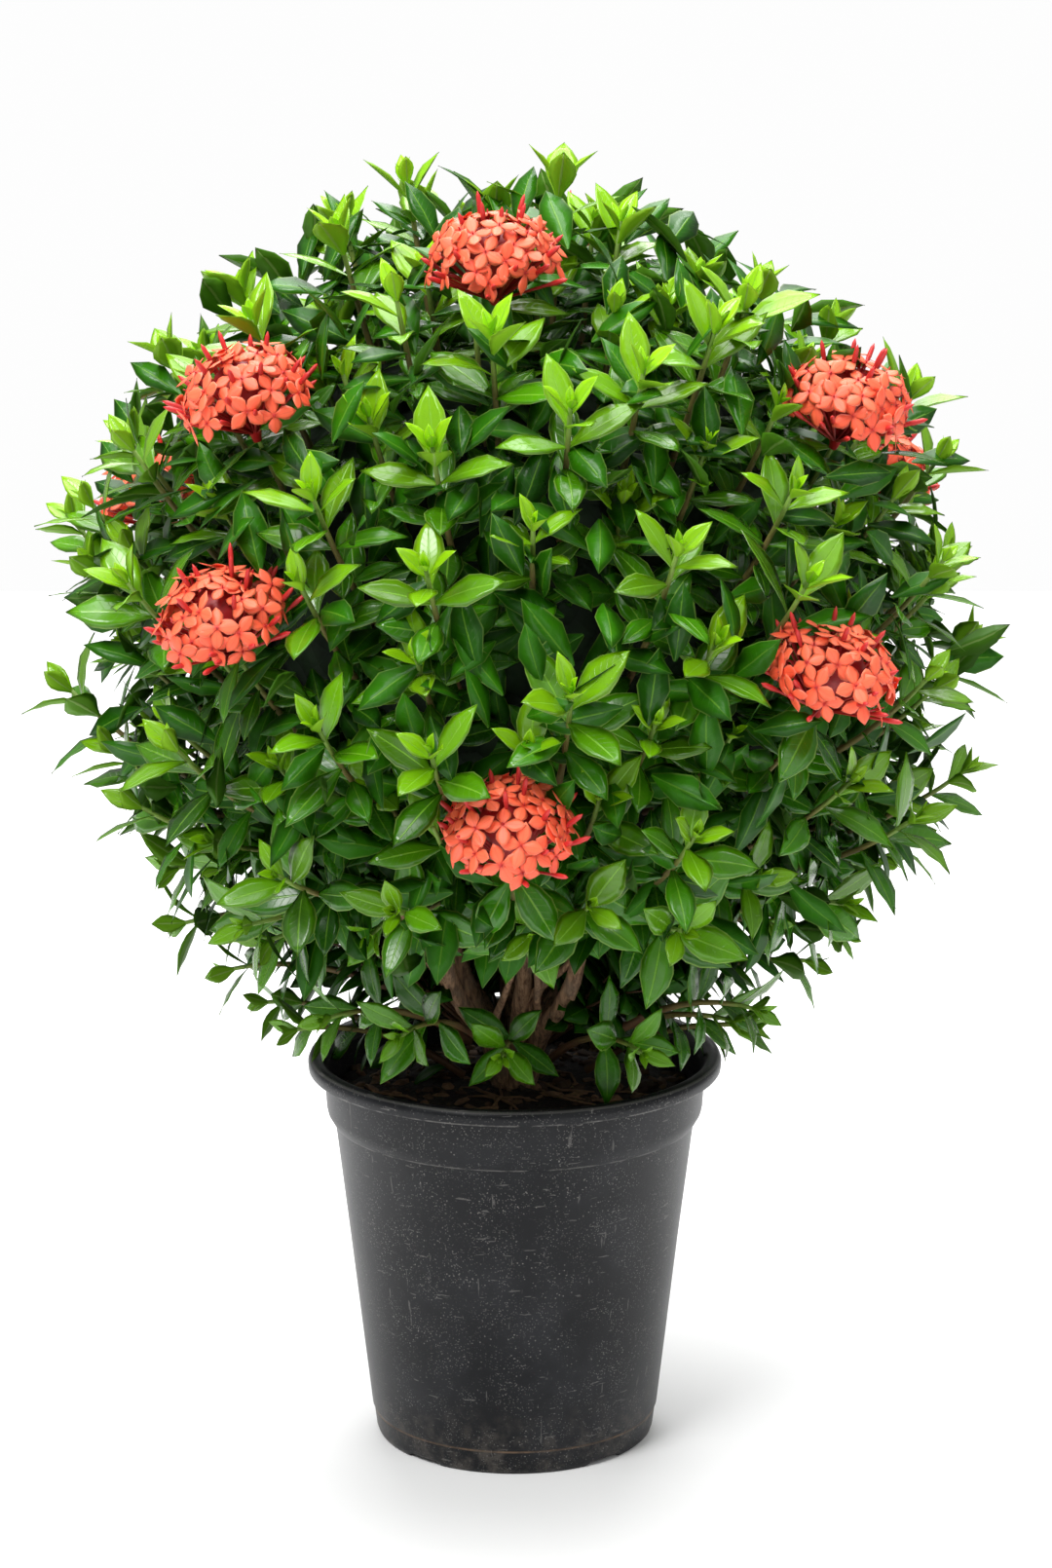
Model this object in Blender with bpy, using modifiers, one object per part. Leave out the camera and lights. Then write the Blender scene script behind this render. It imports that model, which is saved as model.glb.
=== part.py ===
"""A potted ixora in bloom: a round evergreen bush with coral flower heads, in a black nursery pot.

Metres, +Z up. The origin is on the ground, under the middle of the pot, and -Y is the front.
"""

import math
import random

import bmesh
import bpy
from mathutils import Matrix, Vector
from mathutils.bvhtree import BVHTree

# Driving dimensions of the pot
POT_HEIGHT = 0.268
RIM_RADIUS = 0.140
BASE_RADIUS = 0.0945
COLLAR_Z = 0.2225
WALL = 0.0022
SIDES = 24
FOOT = 0.003
FOOT_GAP_TURNS = (41, 139, 221, 319)
FOOT_GAP_WIDTH = 0.024
DRAIN_RADIUS = 0.006
DRAIN_CIRCLE = 0.076

# Driving dimensions of the bush
CROWN_CENTRE = Vector((0.0, 0.0, 0.567))
CORE_RADIUS = 0.224
CORE_HALF_HEIGHT = 0.194
CORE_LUMP = 0.008
SOIL_Z = 0.238
SOIL_RISE = 0.008
STUMP_RADIUS = 0.018
STUMP_DEPTH = 0.030
LIMBS = 8
LIMB_RADIUS = 0.0062
LIMB_SOCKET_DEPTH = 0.022
CLEARANCE = 0.0004
SOCKET_CLEARANCE = 0.0005
SWELL = 0.0002

# A leafy shoot and its blades
LEAFY_SHOOTS = 35
SHOOT_LENGTH = 0.088
TWIG_RADIUS = 0.0026
LEAF_LENGTH = 0.074
LEAF_WIDTH = 0.033
LEAF_KEEL = 0.0016
LEAF_ARCH = 0.15
LEAST_PITCH = 22
ROOT_SUNK = 0.0006
INNER_LEAVES = 114
INNER_LENGTH = 0.086
INNER_WIDTH = 0.040
INNER_SUNK = 0.007

# A flower head
DOME_RADIUS = 0.034
FLORETS = 11
FLORET_REACH = 0.0225
FLORET_NOTCH = 0.0085
FLORET_LIFT = 0.0080
FLORET_SUNK = 0.0048
BUDS = 3
BUD_LENGTH = 0.021
HEAD_NECK = 0.026
PEDUNCLE_RADIUS = 0.0032
STEM_BEND = 0.020

# Where the heads stand, as turn from the front and height above the horizon, in degrees
HEADS = (
    (-6, 61),
    (-45, 35),
    (56, 33),
    (-38, 8),
    (38, 2),
    (-2, -16),
    (172, 52),
    (116, 16),
    (-118, 12),
    (-172, 2),
)
HEAD_REACH = 0.278
GOLDEN_TURN = math.radians(137.508)
SEED = 20

# Leaf pairs: height on the twig, pitch from it in degrees, size and turn in degrees
SHOOT_PAIRS = ((0.24, 70, 1.00, 2), (0.58, 54, 0.92, 93), (0.93, 34, 0.66, 184))
STEM_PAIRS = ((0.012, 70, 1.10, 0), (0.002, 80, 0.95, 90))

# The ways a leaf may be shortened, leaned and swung aside to lie clear, best first
LEAF_TRIES = [
    (share, lean, swing)
    for share in (1.0, 0.85, 0.7)
    for lean, swing in ((0, 0), (-14, 0), (0, 22), (0, -22), (-20, 22), (-20, -22), (14, 0))
]
INNER_TRIES = [
    (size, pitch, turn) for size in (1.0, 0.8, 0.64) for pitch in (66, 48) for turn in range(0, 360, 45)
]
FLORET_TRIES = [
    (FLORET_REACH * share, math.radians(swing))
    for share in (1.0, 0.92, 0.84, 0.76, 0.68)
    for swing in range(0, 90, 15)
]
INNER_LOWEST = math.sin(math.radians(-62))

UP = Vector((0.0, 0.0, 1.0))


def clear_scene():
    """Removes whatever the file holds."""
    for thing in list(bpy.data.objects):
        bpy.data.objects.remove(thing)


def new_collection(name, parent=None):
    """A collection linked under the scene's, or under another."""
    made = bpy.data.collections.new(name)
    (parent or bpy.context.scene.collection).children.link(made)
    return made


def finish_material(name, colour, roughness):
    """A plain Principled finish."""
    made = bpy.data.materials.new(name)
    made.use_nodes = True
    shader = made.node_tree.nodes["Principled BSDF"]
    shader.inputs["Base Color"].default_value = (*colour, 1.0)
    shader.inputs["Roughness"].default_value = roughness
    shader.inputs["Metallic"].default_value = 0.0
    return made


def object_from(name, bm, collection, material):
    """A bmesh as an object of that name, with its one material."""
    mesh = bpy.data.meshes.new(name)
    bm.to_mesh(mesh)
    bm.free()
    mesh.materials.append(material)
    made = bpy.data.objects.new(name, mesh)
    collection.objects.link(made)
    return made


def evaluated_mesh(thing):
    """The mesh of an object with its modifiers or its curve worked out."""
    graph = bpy.context.evaluated_depsgraph_get()
    return bpy.data.meshes.new_from_object(thing.evaluated_get(graph))


def fused(name, pieces, collection, material):
    """One object out of bmesh pieces that reach into the first, joined to it by one union."""
    body = object_from(name, pieces[0], collection, material)
    others = new_collection("others")
    for piece in pieces[1:]:
        object_from("piece", piece, others, material)
    union = body.modifiers.new("join", "BOOLEAN")
    union.operation = "UNION"
    union.operand_type = "COLLECTION"
    union.collection = others
    union.solver = "MANIFOLD"
    joined = evaluated_mesh(body)
    body.modifiers.clear()
    body.data = joined
    for piece in list(others.objects):
        bpy.data.objects.remove(piece)
    bpy.data.collections.remove(others)
    return body


def direction(turn, height):
    """A unit vector from degrees of turn from the front and of height above the horizon."""
    a, e = math.radians(turn), math.radians(height)
    return Vector((math.sin(a) * math.cos(e), -math.cos(a) * math.cos(e), math.sin(e)))


def frame_along(axis, place, turn=0.0):
    """A matrix whose Z runs along axis, at a place, turned about that axis."""
    rotation = axis.to_track_quat("Z", "Y").to_matrix().to_4x4()
    return Matrix.Translation(place) @ rotation @ Matrix.Rotation(turn, 4, "Z")


def search_tree(pieces, swell=0.0):
    """A search tree of the faces of bmesh pieces, with their surfaces moved out a little."""
    corners, faces = [], []
    for piece in pieces:
        piece.normal_update()
        start = len(corners)
        piece.verts.index_update()
        corners += [vertex.co + vertex.normal * swell for vertex in piece.verts]
        faces += [[start + vertex.index for vertex in face.verts] for face in piece.faces]
    return BVHTree.FromPolygons(corners, faces)


def is_clear(pieces, trees):
    """Whether pieces keep a little more than the swell away from every tree."""
    own = search_tree(pieces, SWELL)
    return not any(own.overlap(tree) for tree in trees)


def discard(pieces):
    """Frees pieces that won't be used."""
    for piece in pieces:
        piece.free()


# The pot
def turned(name, profile, collection, material):
    """A solid turned about Z from a profile that ends on the axis."""
    bm = bmesh.new()
    points = [bm.verts.new((radius, 0.0, z)) for radius, z in profile]
    for a, b in zip(points, points[1:]):
        bm.edges.new((a, b))
    made = object_from(name, bm, collection, material)
    screw = made.modifiers.new("turn", "SCREW")
    screw.steps = SIDES
    screw.render_steps = SIDES
    screw.use_merge_vertices = True
    screw.merge_threshold = 0.0001
    return made


def inner_wall():
    """The inside of the pot from the floor's edge up to the rim, as radius and height."""
    return [
        (BASE_RADIUS - WALL, FOOT + WALL),
        (0.1214 - WALL, COLLAR_Z - 0.003),
        (0.1263 - WALL, COLLAR_Z + 0.003),
        (0.1285 - WALL, 0.2560),
    ]


def make_pot(collection, cutters, material):
    """A tapered pot with a collar and a rolled rim, on a foot ring with four drain gaps."""
    lip_z = POT_HEIGHT - 0.0100
    profile = [(0.0, WALL), (0.060, WALL), (0.063, FOOT + WALL)]
    profile += inner_wall()
    profile += [
        (0.1310, POT_HEIGHT - 0.0006),
        (0.1360, POT_HEIGHT),
        (0.1390, POT_HEIGHT - 0.0022),
        (RIM_RADIUS, POT_HEIGHT - 0.0050),
        (RIM_RADIUS - 0.0008, lip_z),
        (0.1288, lip_z),
        (0.1263, COLLAR_Z + 0.0015),
        (0.1214, COLLAR_Z - 0.0035),
        (0.0974, 0.0170),
        (BASE_RADIUS, 0.0),
        (BASE_RADIUS - 0.0065, 0.0),
        (BASE_RADIUS - 0.0075, FOOT),
        (0.0650, FOOT),
        (0.0625, 0.0),
        (0.0, 0.0),
    ]
    pot = turned("pot", profile, collection, material)
    for turn in FOOT_GAP_TURNS:
        add_foot_gap(turn, cutters, material)
        add_drain_hole(turn, cutters, material)
    cut = pot.modifiers.new("drains", "BOOLEAN")
    cut.operation = "DIFFERENCE"
    cut.operand_type = "COLLECTION"
    cut.collection = cutters
    return pot


def add_foot_gap(turn, cutters, material):
    """A block that takes one drain gap out of the foot ring."""
    bm = bmesh.new()
    bmesh.ops.create_cube(bm, size=1.0)
    bmesh.ops.scale(bm, vec=(FOOT_GAP_WIDTH, 0.016, 2 * FOOT - 0.0006), verts=bm.verts)
    made = object_from(f"foot_gap_{turn}", bm, cutters, material)
    as_cutter(made)
    made.location = direction(turn, 0) * (BASE_RADIUS - 0.002)
    made.rotation_euler = (0.0, 0.0, math.radians(turn))


def add_drain_hole(turn, cutters, material):
    """A round hole through the floor, inside the foot gap."""
    bm = bmesh.new()
    bmesh.ops.create_cone(
        bm, cap_ends=True, segments=6, radius1=DRAIN_RADIUS, radius2=DRAIN_RADIUS, depth=0.02
    )
    made = object_from(f"drain_hole_{turn}", bm, cutters, material)
    as_cutter(made)
    made.location = direction(turn, 0) * DRAIN_CIRCLE


def as_cutter(thing):
    """Keeps a cutter out of the picture."""
    thing.hide_render = True
    thing.display_type = "WIRE"


# The soil and the woody stems
def make_soil(collection, cutters, material):
    """Potting mix that fills the pot, with a plain hole for the stump."""
    low, collar_low, collar_high, top = inner_wall()
    share = (SOIL_Z - collar_high[1]) / (top[1] - collar_high[1])
    edge = collar_high[0] + share * (top[0] - collar_high[0])
    profile = [(0.0, SOIL_Z + SOIL_RISE), (0.070, SOIL_Z + 0.7 * SOIL_RISE), (edge - CLEARANCE, SOIL_Z)]
    profile += [(radius - CLEARANCE, z) for radius, z in (collar_high, collar_low)]
    profile += [(low[0] - CLEARANCE, low[1] + CLEARANCE), (0.0, low[1] + CLEARANCE)]
    soil = turned("soil", profile, collection, material)
    bm = bmesh.new()
    bmesh.ops.create_cone(
        bm,
        cap_ends=True,
        segments=8,
        radius1=STUMP_RADIUS + SOCKET_CLEARANCE,
        radius2=STUMP_RADIUS + SOCKET_CLEARANCE,
        depth=2 * STUMP_DEPTH + 2 * CLEARANCE,
    )
    hole = object_from("stump_hole", bm, cutters, material)
    hole.location = (0.0, 0.0, SOIL_Z + SOIL_RISE)
    as_cutter(hole)
    cut = soil.modifiers.new("stump_hole", "BOOLEAN")
    cut.operation = "DIFFERENCE"
    cut.operand_type = "COLLECTION"
    cut.collection = cutters
    return soil


def limb_path(index):
    """The points of one woody limb, from inside the stump to inside the crown."""
    draw = random.Random(SEED + index)
    turn = math.radians(360.0 * index / LIMBS + draw.uniform(-12, 12))
    out = Vector((math.sin(turn), -math.cos(turn), 0.0))
    reach = 0.088 if index % 2 else 0.052
    stump_top = SOIL_Z + SOIL_RISE
    low = out * 0.006 + UP * (stump_top - 0.004)
    knee = out * (0.30 * reach) + UP * (stump_top + 0.034 + draw.uniform(-0.006, 0.006))
    elbow = out * (0.66 * reach) + UP * (stump_top + 0.074)
    toward = (CROWN_CENTRE + out * (1.9 * reach) - elbow).normalized()
    return low, knee, elbow, toward


def tube(points, radii, grow=0.0):
    """A tapered six-sided tube along points, as a closed bmesh piece."""
    data = bpy.data.curves.new("tube", "CURVE")
    data.dimensions = "3D"
    data.bevel_depth = 1.0
    data.bevel_resolution = 1
    data.use_fill_caps = True
    spline = data.splines.new("POLY")
    spline.points.add(len(points) - 1)
    for point, place, radius in zip(spline.points, points, radii):
        point.co = (*place, 1.0)
        point.radius = radius + grow
    curve = bpy.data.objects.new("tube", data)
    bpy.context.scene.collection.objects.link(curve)
    bm = bmesh.new()
    bm.from_mesh(evaluated_mesh(curve))
    bpy.data.objects.remove(curve)
    bmesh.ops.remove_doubles(bm, verts=bm.verts, dist=0.00001)
    bmesh.ops.recalc_face_normals(bm, faces=bm.faces)
    return bm


def make_woody_stems(collection, cutters, core_tree, material):
    """A stump with limbs that fan out and go into sockets under the crown's inner foliage."""
    stump = bmesh.new()
    bmesh.ops.create_cone(
        stump,
        cap_ends=True,
        segments=8,
        radius1=STUMP_RADIUS,
        radius2=0.72 * STUMP_RADIUS,
        depth=STUMP_DEPTH + 0.012,
        matrix=Matrix.Translation((0, 0, SOIL_Z + SOIL_RISE - STUMP_DEPTH / 2 + 0.006)),
    )
    pieces = [stump]
    for index in range(LIMBS):
        low, knee, elbow, toward = limb_path(index)
        entry = core_tree.ray_cast(elbow, toward)[0]
        end = entry + toward * LIMB_SOCKET_DEPTH
        radii = [LIMB_RADIUS * share for share in (1.15, 1.0, 0.82, 0.62)]
        pieces.append(tube((low, knee, elbow, end), radii))
        past = end + toward * SOCKET_CLEARANCE
        socket = tube((elbow, past), radii[2:], grow=SOCKET_CLEARANCE)
        as_cutter(object_from(f"socket_{index}", socket, cutters, material))
    return fused("woody_stems", pieces, collection, material)


# The leaf blade and the leafy shoots
def blade(length, width, arch, place):
    """A pointed blade, widest past its middle, with a keel under its midrib, bent down to its tip.

    Its root is at the place's origin, it runs along the place's X and its upper face looks along Z.
    """
    bm = bmesh.new()
    bmesh.ops.create_uvsphere(bm, u_segments=3, v_segments=3, radius=1.0)
    for vertex in bm.verts:
        x, _, z = vertex.co
        share = 0.5 + 0.5 * z if abs(z) > 0.9 else 0.55 + 0.36 * z
        side = math.copysign(1.0, x) if abs(x) > 0.1 else 0.0
        is_end = abs(z) > 0.9
        lift = 0.0 if is_end else 0.16 * width / 2 if side else -LEAF_KEEL
        drop = arch * length * share * share
        vertex.co = Vector((share * length, side * width / 2, lift - drop))
    bmesh.ops.triangulate(bm, faces=bm.faces)
    bmesh.ops.recalc_face_normals(bm, faces=bm.faces)
    bm.transform(place)
    return bm


def leaf_place(axis_frame, height, turn, pitch):
    """Where a leaf goes on a twig: at a height, on one side, leaning out by pitch."""
    out = Vector((math.cos(turn), math.sin(turn), 0.0))
    along = UP * math.cos(pitch) + out * math.sin(pitch)
    face = UP * math.sin(pitch) - out * math.cos(pitch)
    across = face.cross(along)
    start = UP * height - along * ROOT_SUNK
    local = Matrix((along, across, face)).transposed().to_4x4()
    return axis_frame @ Matrix.Translation(start) @ local


def twig(frame, length):
    """A tapered square twig from the frame's origin along its Z, its flats towards the leaves."""
    bm = bmesh.new()
    bmesh.ops.create_cone(
        bm,
        cap_ends=True,
        segments=4,
        radius1=TWIG_RADIUS,
        radius2=0.6 * TWIG_RADIUS,
        depth=length,
        matrix=Matrix.Translation((0, 0, length / 2)) @ Matrix.Rotation(math.radians(45), 4, "Z"),
    )
    bm.transform(frame)
    return bm


def clear_leaf(frame, height, pitch, turn, size, taken):
    """A blade near a wanted place on a twig, moved aside or shortened until it is clear, or none."""
    for share, lean, swing in LEAF_TRIES:
        angle = math.radians(turn + swing)
        place = leaf_place(frame, height, angle, math.radians(max(pitch + lean, LEAST_PITCH)))
        length, width = LEAF_LENGTH * size * share, LEAF_WIDTH * size * math.sqrt(share)
        leaf = blade(length, width, LEAF_ARCH, place)
        if is_clear([leaf], taken):
            return leaf
        leaf.free()
    return None


def clear_leaves(frame, pairs, taken):
    """The blades of opposite pairs that find a clear place.

    A pair is its height on the twig, its pitch in degrees, its size and its turn in degrees.
    """
    leaves = []
    for height, pitch, size, turn in pairs:
        for side in (0, 180):
            leaf = clear_leaf(frame, height, pitch, turn + side, size, taken)
            if leaf:
                leaves.append(leaf)
    return leaves


def growing_axis(outward):
    """The way a shoot points: out of the crown and up towards the light, less so low down."""
    pull = 0.45 if outward.z > -0.25 else max(0.0, 0.45 + 1.1 * (outward.z + 0.25))
    return (outward + UP * pull).normalized()


def spread_directions(count, fixed):
    """Even directions over the crown around fixed ones, leaving its underside free for the stems."""
    lowest = math.sin(math.radians(-54))
    points = []
    for index in range(count):
        z = 1.0 - (1.0 - lowest) * (index + 0.5) / count
        turn = index * GOLDEN_TURN
        flat = math.sqrt(1.0 - z * z)
        points.append(Vector((flat * math.cos(turn), flat * math.sin(turn), z)))
    for _ in range(140):
        moved = []
        for point in points:
            push = Vector((0.0, 0.0, 0.0))
            for other in points + fixed:
                gap = point - other
                if 0.0 < gap.length < 0.9:
                    push += gap.normalized() / gap.length_squared
            aim = (point + push * 0.0015).normalized()
            aim.z = max(aim.z, lowest)
            moved.append(aim.normalized())
        points = moved
    return points


def make_leafy_shoot(name, outward, core_tree, taken, collection, material):
    """One leafy shoot, leaned over step by step until its twig is clear, with its leaves."""
    root = core_tree.ray_cast(CROWN_CENTRE, outward)[0]
    for axis in leaning_axes(outward):
        stand_off = seated(lambda gap: twig(frame_along(axis, root + axis * gap), SHOOT_LENGTH), core_tree)
        frame = frame_along(axis, root + axis * stand_off)
        stalk = twig(frame, SHOOT_LENGTH)
        if is_clear([stalk], taken):
            break
        stalk.free()
    else:
        raise RuntimeError(f"{name} finds no clear place")
    pairs = [(share * SHOOT_LENGTH, *rest) for share, *rest in SHOOT_PAIRS]
    pieces = [stalk, *clear_leaves(frame, pairs, taken)]
    taken.append(search_tree(pieces))
    return fused(name, pieces, collection, material)


def seated(piece_at, core_tree):
    """The least stand-off from the core, in small steps, at which a piece is clear of it."""
    for step in range(60):
        gap = CLEARANCE + step * 0.00015
        piece = piece_at(gap)
        clear = is_clear([piece], [core_tree])
        piece.free()
        if clear:
            return gap
    raise RuntimeError("a piece finds no seat on the core")


def leaning_axes(outward):
    """The ways a shoot may point, best first: the growing one, then leaned to each side."""
    best = growing_axis(outward)
    sideways = best.cross(UP).normalized()
    leans = [best.copy()]
    for amount in (0.2, 0.4):
        for turn in range(0, 360, 45):
            aside = Matrix.Rotation(math.radians(turn), 3, best) @ sideways
            leans.append((best + aside * amount).normalized())
    return leans


# The flower heads
def head_axis(outward):
    """A head faces up, leaning out a little."""
    return (Vector((outward.x, outward.y, 0.0)) * 0.45 + UP).normalized()


def floret(place, reach):
    """A four-petalled floret: an eight-cornered star over a point that sinks into the head."""
    bm = bmesh.new()
    bmesh.ops.create_uvsphere(bm, u_segments=8, v_segments=2, radius=1.0)
    for vertex in bm.verts:
        x, y, z = vertex.co
        if abs(z) > 0.5:
            vertex.co = Vector((0.0, 0.0, 0.0012 if z > 0 else -FLORET_LIFT - FLORET_SUNK))
            continue
        is_tip = round(math.degrees(math.atan2(y, x)) / 45.0) % 2 == 0
        out = Vector((x, y, 0.0)).normalized() * (reach if is_tip else FLORET_NOTCH)
        vertex.co = out + UP * (0.0010 if is_tip else -0.0006)
    bm.transform(place)
    return bm


def bud(place):
    """An unopened flower: a slim spindle on its tube."""
    bm = bmesh.new()
    bmesh.ops.create_cone(
        bm,
        cap_ends=True,
        segments=3,
        radius1=0.0012,
        radius2=0.0024,
        depth=BUD_LENGTH,
        matrix=Matrix.Translation((0, 0, DOME_RADIUS + 0.015 - BUD_LENGTH / 2)),
    )
    bm.transform(place)
    return bm


def head_core(frame):
    """The inside of a head: a dome that narrows below to its neck."""
    bm = bmesh.new()
    bmesh.ops.create_uvsphere(bm, u_segments=8, v_segments=6, radius=1.0)
    for vertex in bm.verts:
        x, y, z = vertex.co
        if z < -0.9:
            vertex.co = Vector((0.0, 0.0, 0.0))
        elif z < -0.1:
            width, level = (PEDUNCLE_RADIUS, 0.0) if z < -0.6 else (0.66 * DOME_RADIUS, 0.60 * HEAD_NECK)
            vertex.co = Vector((x, y, 0.0)).normalized() * width + UP * level
        else:
            vertex.co = Vector((x, y, 0.86 * z)) * DOME_RADIUS + UP * HEAD_NECK
    bmesh.ops.dissolve_limit(bm, angle_limit=0.0001, verts=bm.verts, edges=bm.edges)
    bm.transform(frame)
    return bm


def head_pieces(foot, axis, turn):
    """A domed head: a core covered with florets turned to fit between each other, with buds."""
    frame = frame_along(axis, foot, turn)
    florets, trees = [], []
    for index in range(FLORETS):
        height = 1.0 - 1.16 * (index + 0.4) / FLORETS
        facing = spiral_direction(index, height)
        at = Vector((facing.x, facing.y, 0.86 * facing.z)) * (DOME_RADIUS + FLORET_LIFT)
        for reach, swing in FLORET_TRIES:
            piece = floret(frame @ frame_along(facing, at + UP * HEAD_NECK, swing), reach)
            if is_clear([piece], trees):
                break
            piece.free()
        else:
            raise RuntimeError("a floret finds no clear place")
        florets.append(piece)
        trees.append(search_tree([piece]))
    buds = []
    for index in range(BUDS):
        around = math.radians(40 + 360.0 * index / BUDS)
        tilt = math.radians(38 if index % 2 else 84)
        flat = math.sin(tilt)
        facing = Vector((flat * math.cos(around), flat * math.sin(around), math.cos(tilt)))
        buds.append(bud(frame @ frame_along(facing, UP * HEAD_NECK)))
    return [head_core(frame), *florets, *buds]


def spiral_direction(index, height):
    """The unit direction at a height, an index's worth of golden turns around."""
    flat = math.sqrt(1.0 - height * height)
    turn = index * GOLDEN_TURN
    return Vector((flat * math.cos(turn), flat * math.sin(turn), height))


def make_flowering_stem(name, foot, axis, core_tree, taken, collection, material):
    """The green stem under a head: it leaves the crown, bends up and carries leaves below the head."""
    top = foot - axis * (CLEARANCE + SWELL)
    bend = top - axis * STEM_BEND
    root_way = (bend - CROWN_CENTRE).normalized()
    root = core_tree.ray_cast(CROWN_CENTRE, root_way)[0]
    radii = [PEDUNCLE_RADIUS * share for share in (1.0, 0.95, 0.8)]
    stand_off = seated(lambda gap: tube((root + root_way * gap, bend, top), radii), core_tree)
    stem = tube((root + root_way * stand_off, bend, top), radii)
    if not is_clear([stem], taken):
        raise RuntimeError(f"{name} finds no clear place")
    pieces = [stem, *clear_leaves(frame_along(axis, bend), STEM_PAIRS, taken)]
    taken.append(search_tree(pieces))
    return fused(name, pieces, collection, material)


# The inner foliage
def core_piece():
    """The dense inside of the crown as an uneven ball, smaller than the leaves that stand out of it."""
    bm = bmesh.new()
    bmesh.ops.create_icosphere(bm, subdivisions=3, radius=1.0)
    for vertex in bm.verts:
        out = vertex.co.normalized()
        lump = math.sin(7 * out.x + 1.0) * math.sin(6 * out.y + 2.0) * math.cos(7 * out.z)
        shape = Vector((out.x * CORE_RADIUS, out.y * CORE_RADIUS, out.z * CORE_HALF_HEIGHT))
        vertex.co = CROWN_CENTRE + shape + out * (CORE_LUMP * lump)
    return bm


def inner_leaves(core_tree, taken):
    """Leaves that stand out of the core between the shoots, each turned until it is clear."""
    placed, leaves = list(taken), []
    for index in range(INNER_LEAVES):
        z = 1.0 - (1.0 - INNER_LOWEST) * (index + 0.5) / INNER_LEAVES
        around = index * GOLDEN_TURN + 1.0
        flat = math.sqrt(1.0 - z * z)
        outward = Vector((flat * math.cos(around), flat * math.sin(around), z))
        surface = core_tree.ray_cast(CROWN_CENTRE, outward)[0]
        frame = frame_along(outward, surface, around)
        for size, pitch, turn in INNER_TRIES:
            place = leaf_place(frame, 0.0, math.radians(turn), math.radians(pitch))
            place = place @ Matrix.Translation((-INNER_SUNK, 0.0, 0.0))
            length = (INNER_LENGTH + INNER_SUNK) * size
            leaf = blade(length, INNER_WIDTH * size, 0.10, place)
            if is_clear([leaf], placed):
                placed.append(search_tree([leaf]))
                leaves.append(leaf)
                break
            leaf.free()
    return leaves


def cut_sockets(core, cutters):
    """Opens the plain sockets that the limbs go into."""
    cut = core.modifiers.new("sockets", "BOOLEAN")
    cut.operation = "DIFFERENCE"
    cut.operand_type = "COLLECTION"
    cut.collection = cutters


def main():
    clear_scene()
    parts = new_collection("ixora")
    cutters = new_collection("cutters")
    drain_cutters = new_collection("drain_cutters", cutters)
    soil_cutters = new_collection("soil_cutters", cutters)
    socket_cutters = new_collection("socket_cutters", cutters)

    plastic = finish_material("black_plastic", (0.035, 0.037, 0.040), 0.45)
    mix = finish_material("potting_mix", (0.050, 0.032, 0.020), 0.95)
    bark = finish_material("bark", (0.260, 0.140, 0.070), 0.85)
    leaf_green = finish_material("leaf", (0.070, 0.220, 0.030), 0.35)
    deep_green = finish_material("inner_leaf", (0.025, 0.100, 0.018), 0.45)
    coral = finish_material("petal", (0.900, 0.150, 0.080), 0.50)

    core = core_piece()
    core_tree = search_tree([core])
    pot = make_pot(parts, drain_cutters, plastic)
    make_soil(parts, soil_cutters, mix)
    stems = make_woody_stems(parts, socket_cutters, core_tree, bark)
    taken = [core_tree, tree_of(pot), tree_of(stems)]

    outwards = [direction(turn, height) for turn, height in HEADS]
    head_places = []
    for index, outward in enumerate(outwards, 1):
        axis = head_axis(outward)
        foot = CROWN_CENTRE + outward * HEAD_REACH - axis * (0.5 * HEAD_NECK)
        pieces = head_pieces(foot, axis, index * 1.1)
        taken.append(search_tree(pieces))
        fused(f"flower_head_{index:02d}", pieces, parts, coral)
        head_places.append((foot, axis))
    for index, (foot, axis) in enumerate(head_places, 1):
        name = f"flowering_stem_{index:02d}"
        make_flowering_stem(name, foot, axis, core_tree, taken, parts, leaf_green)
    for index, outward in enumerate(spread_directions(LEAFY_SHOOTS, outwards), 1):
        name = f"leafy_shoot_{index:02d}"
        make_leafy_shoot(name, outward, core_tree, taken, parts, leaf_green)

    taken.remove(core_tree)
    pieces = [core, *inner_leaves(core_tree, taken)]
    cut_sockets(fused("inner_foliage", pieces, parts, deep_green), socket_cutters)


def tree_of(thing):
    """A search tree of an object with its modifiers worked out."""
    bm = bmesh.new()
    bm.from_mesh(evaluated_mesh(thing))
    tree = search_tree([bm])
    bm.free()
    return tree


main()
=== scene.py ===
"""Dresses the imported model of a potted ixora: a clipped round bush in bloom, in a black nursery pot.

The bush is grown the way the plant grows. Shoots leave a dark inner crown, bend up to the light and
carry opposite pairs of glossy leaves, each pair a quarter turn from the last, with a rosette of young
yellow-green leaves at the tip. Some shoots end in a flower head instead: a dome of four-petalled
coral florets on deep red tubes, with slim buds between them.
"""

from __future__ import annotations

import logging
import math
import random
from dataclasses import dataclass, field
from enum import Enum, IntEnum

import bmesh
import bpy
from mathutils import Matrix, Quaternion, Vector, noise

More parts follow.
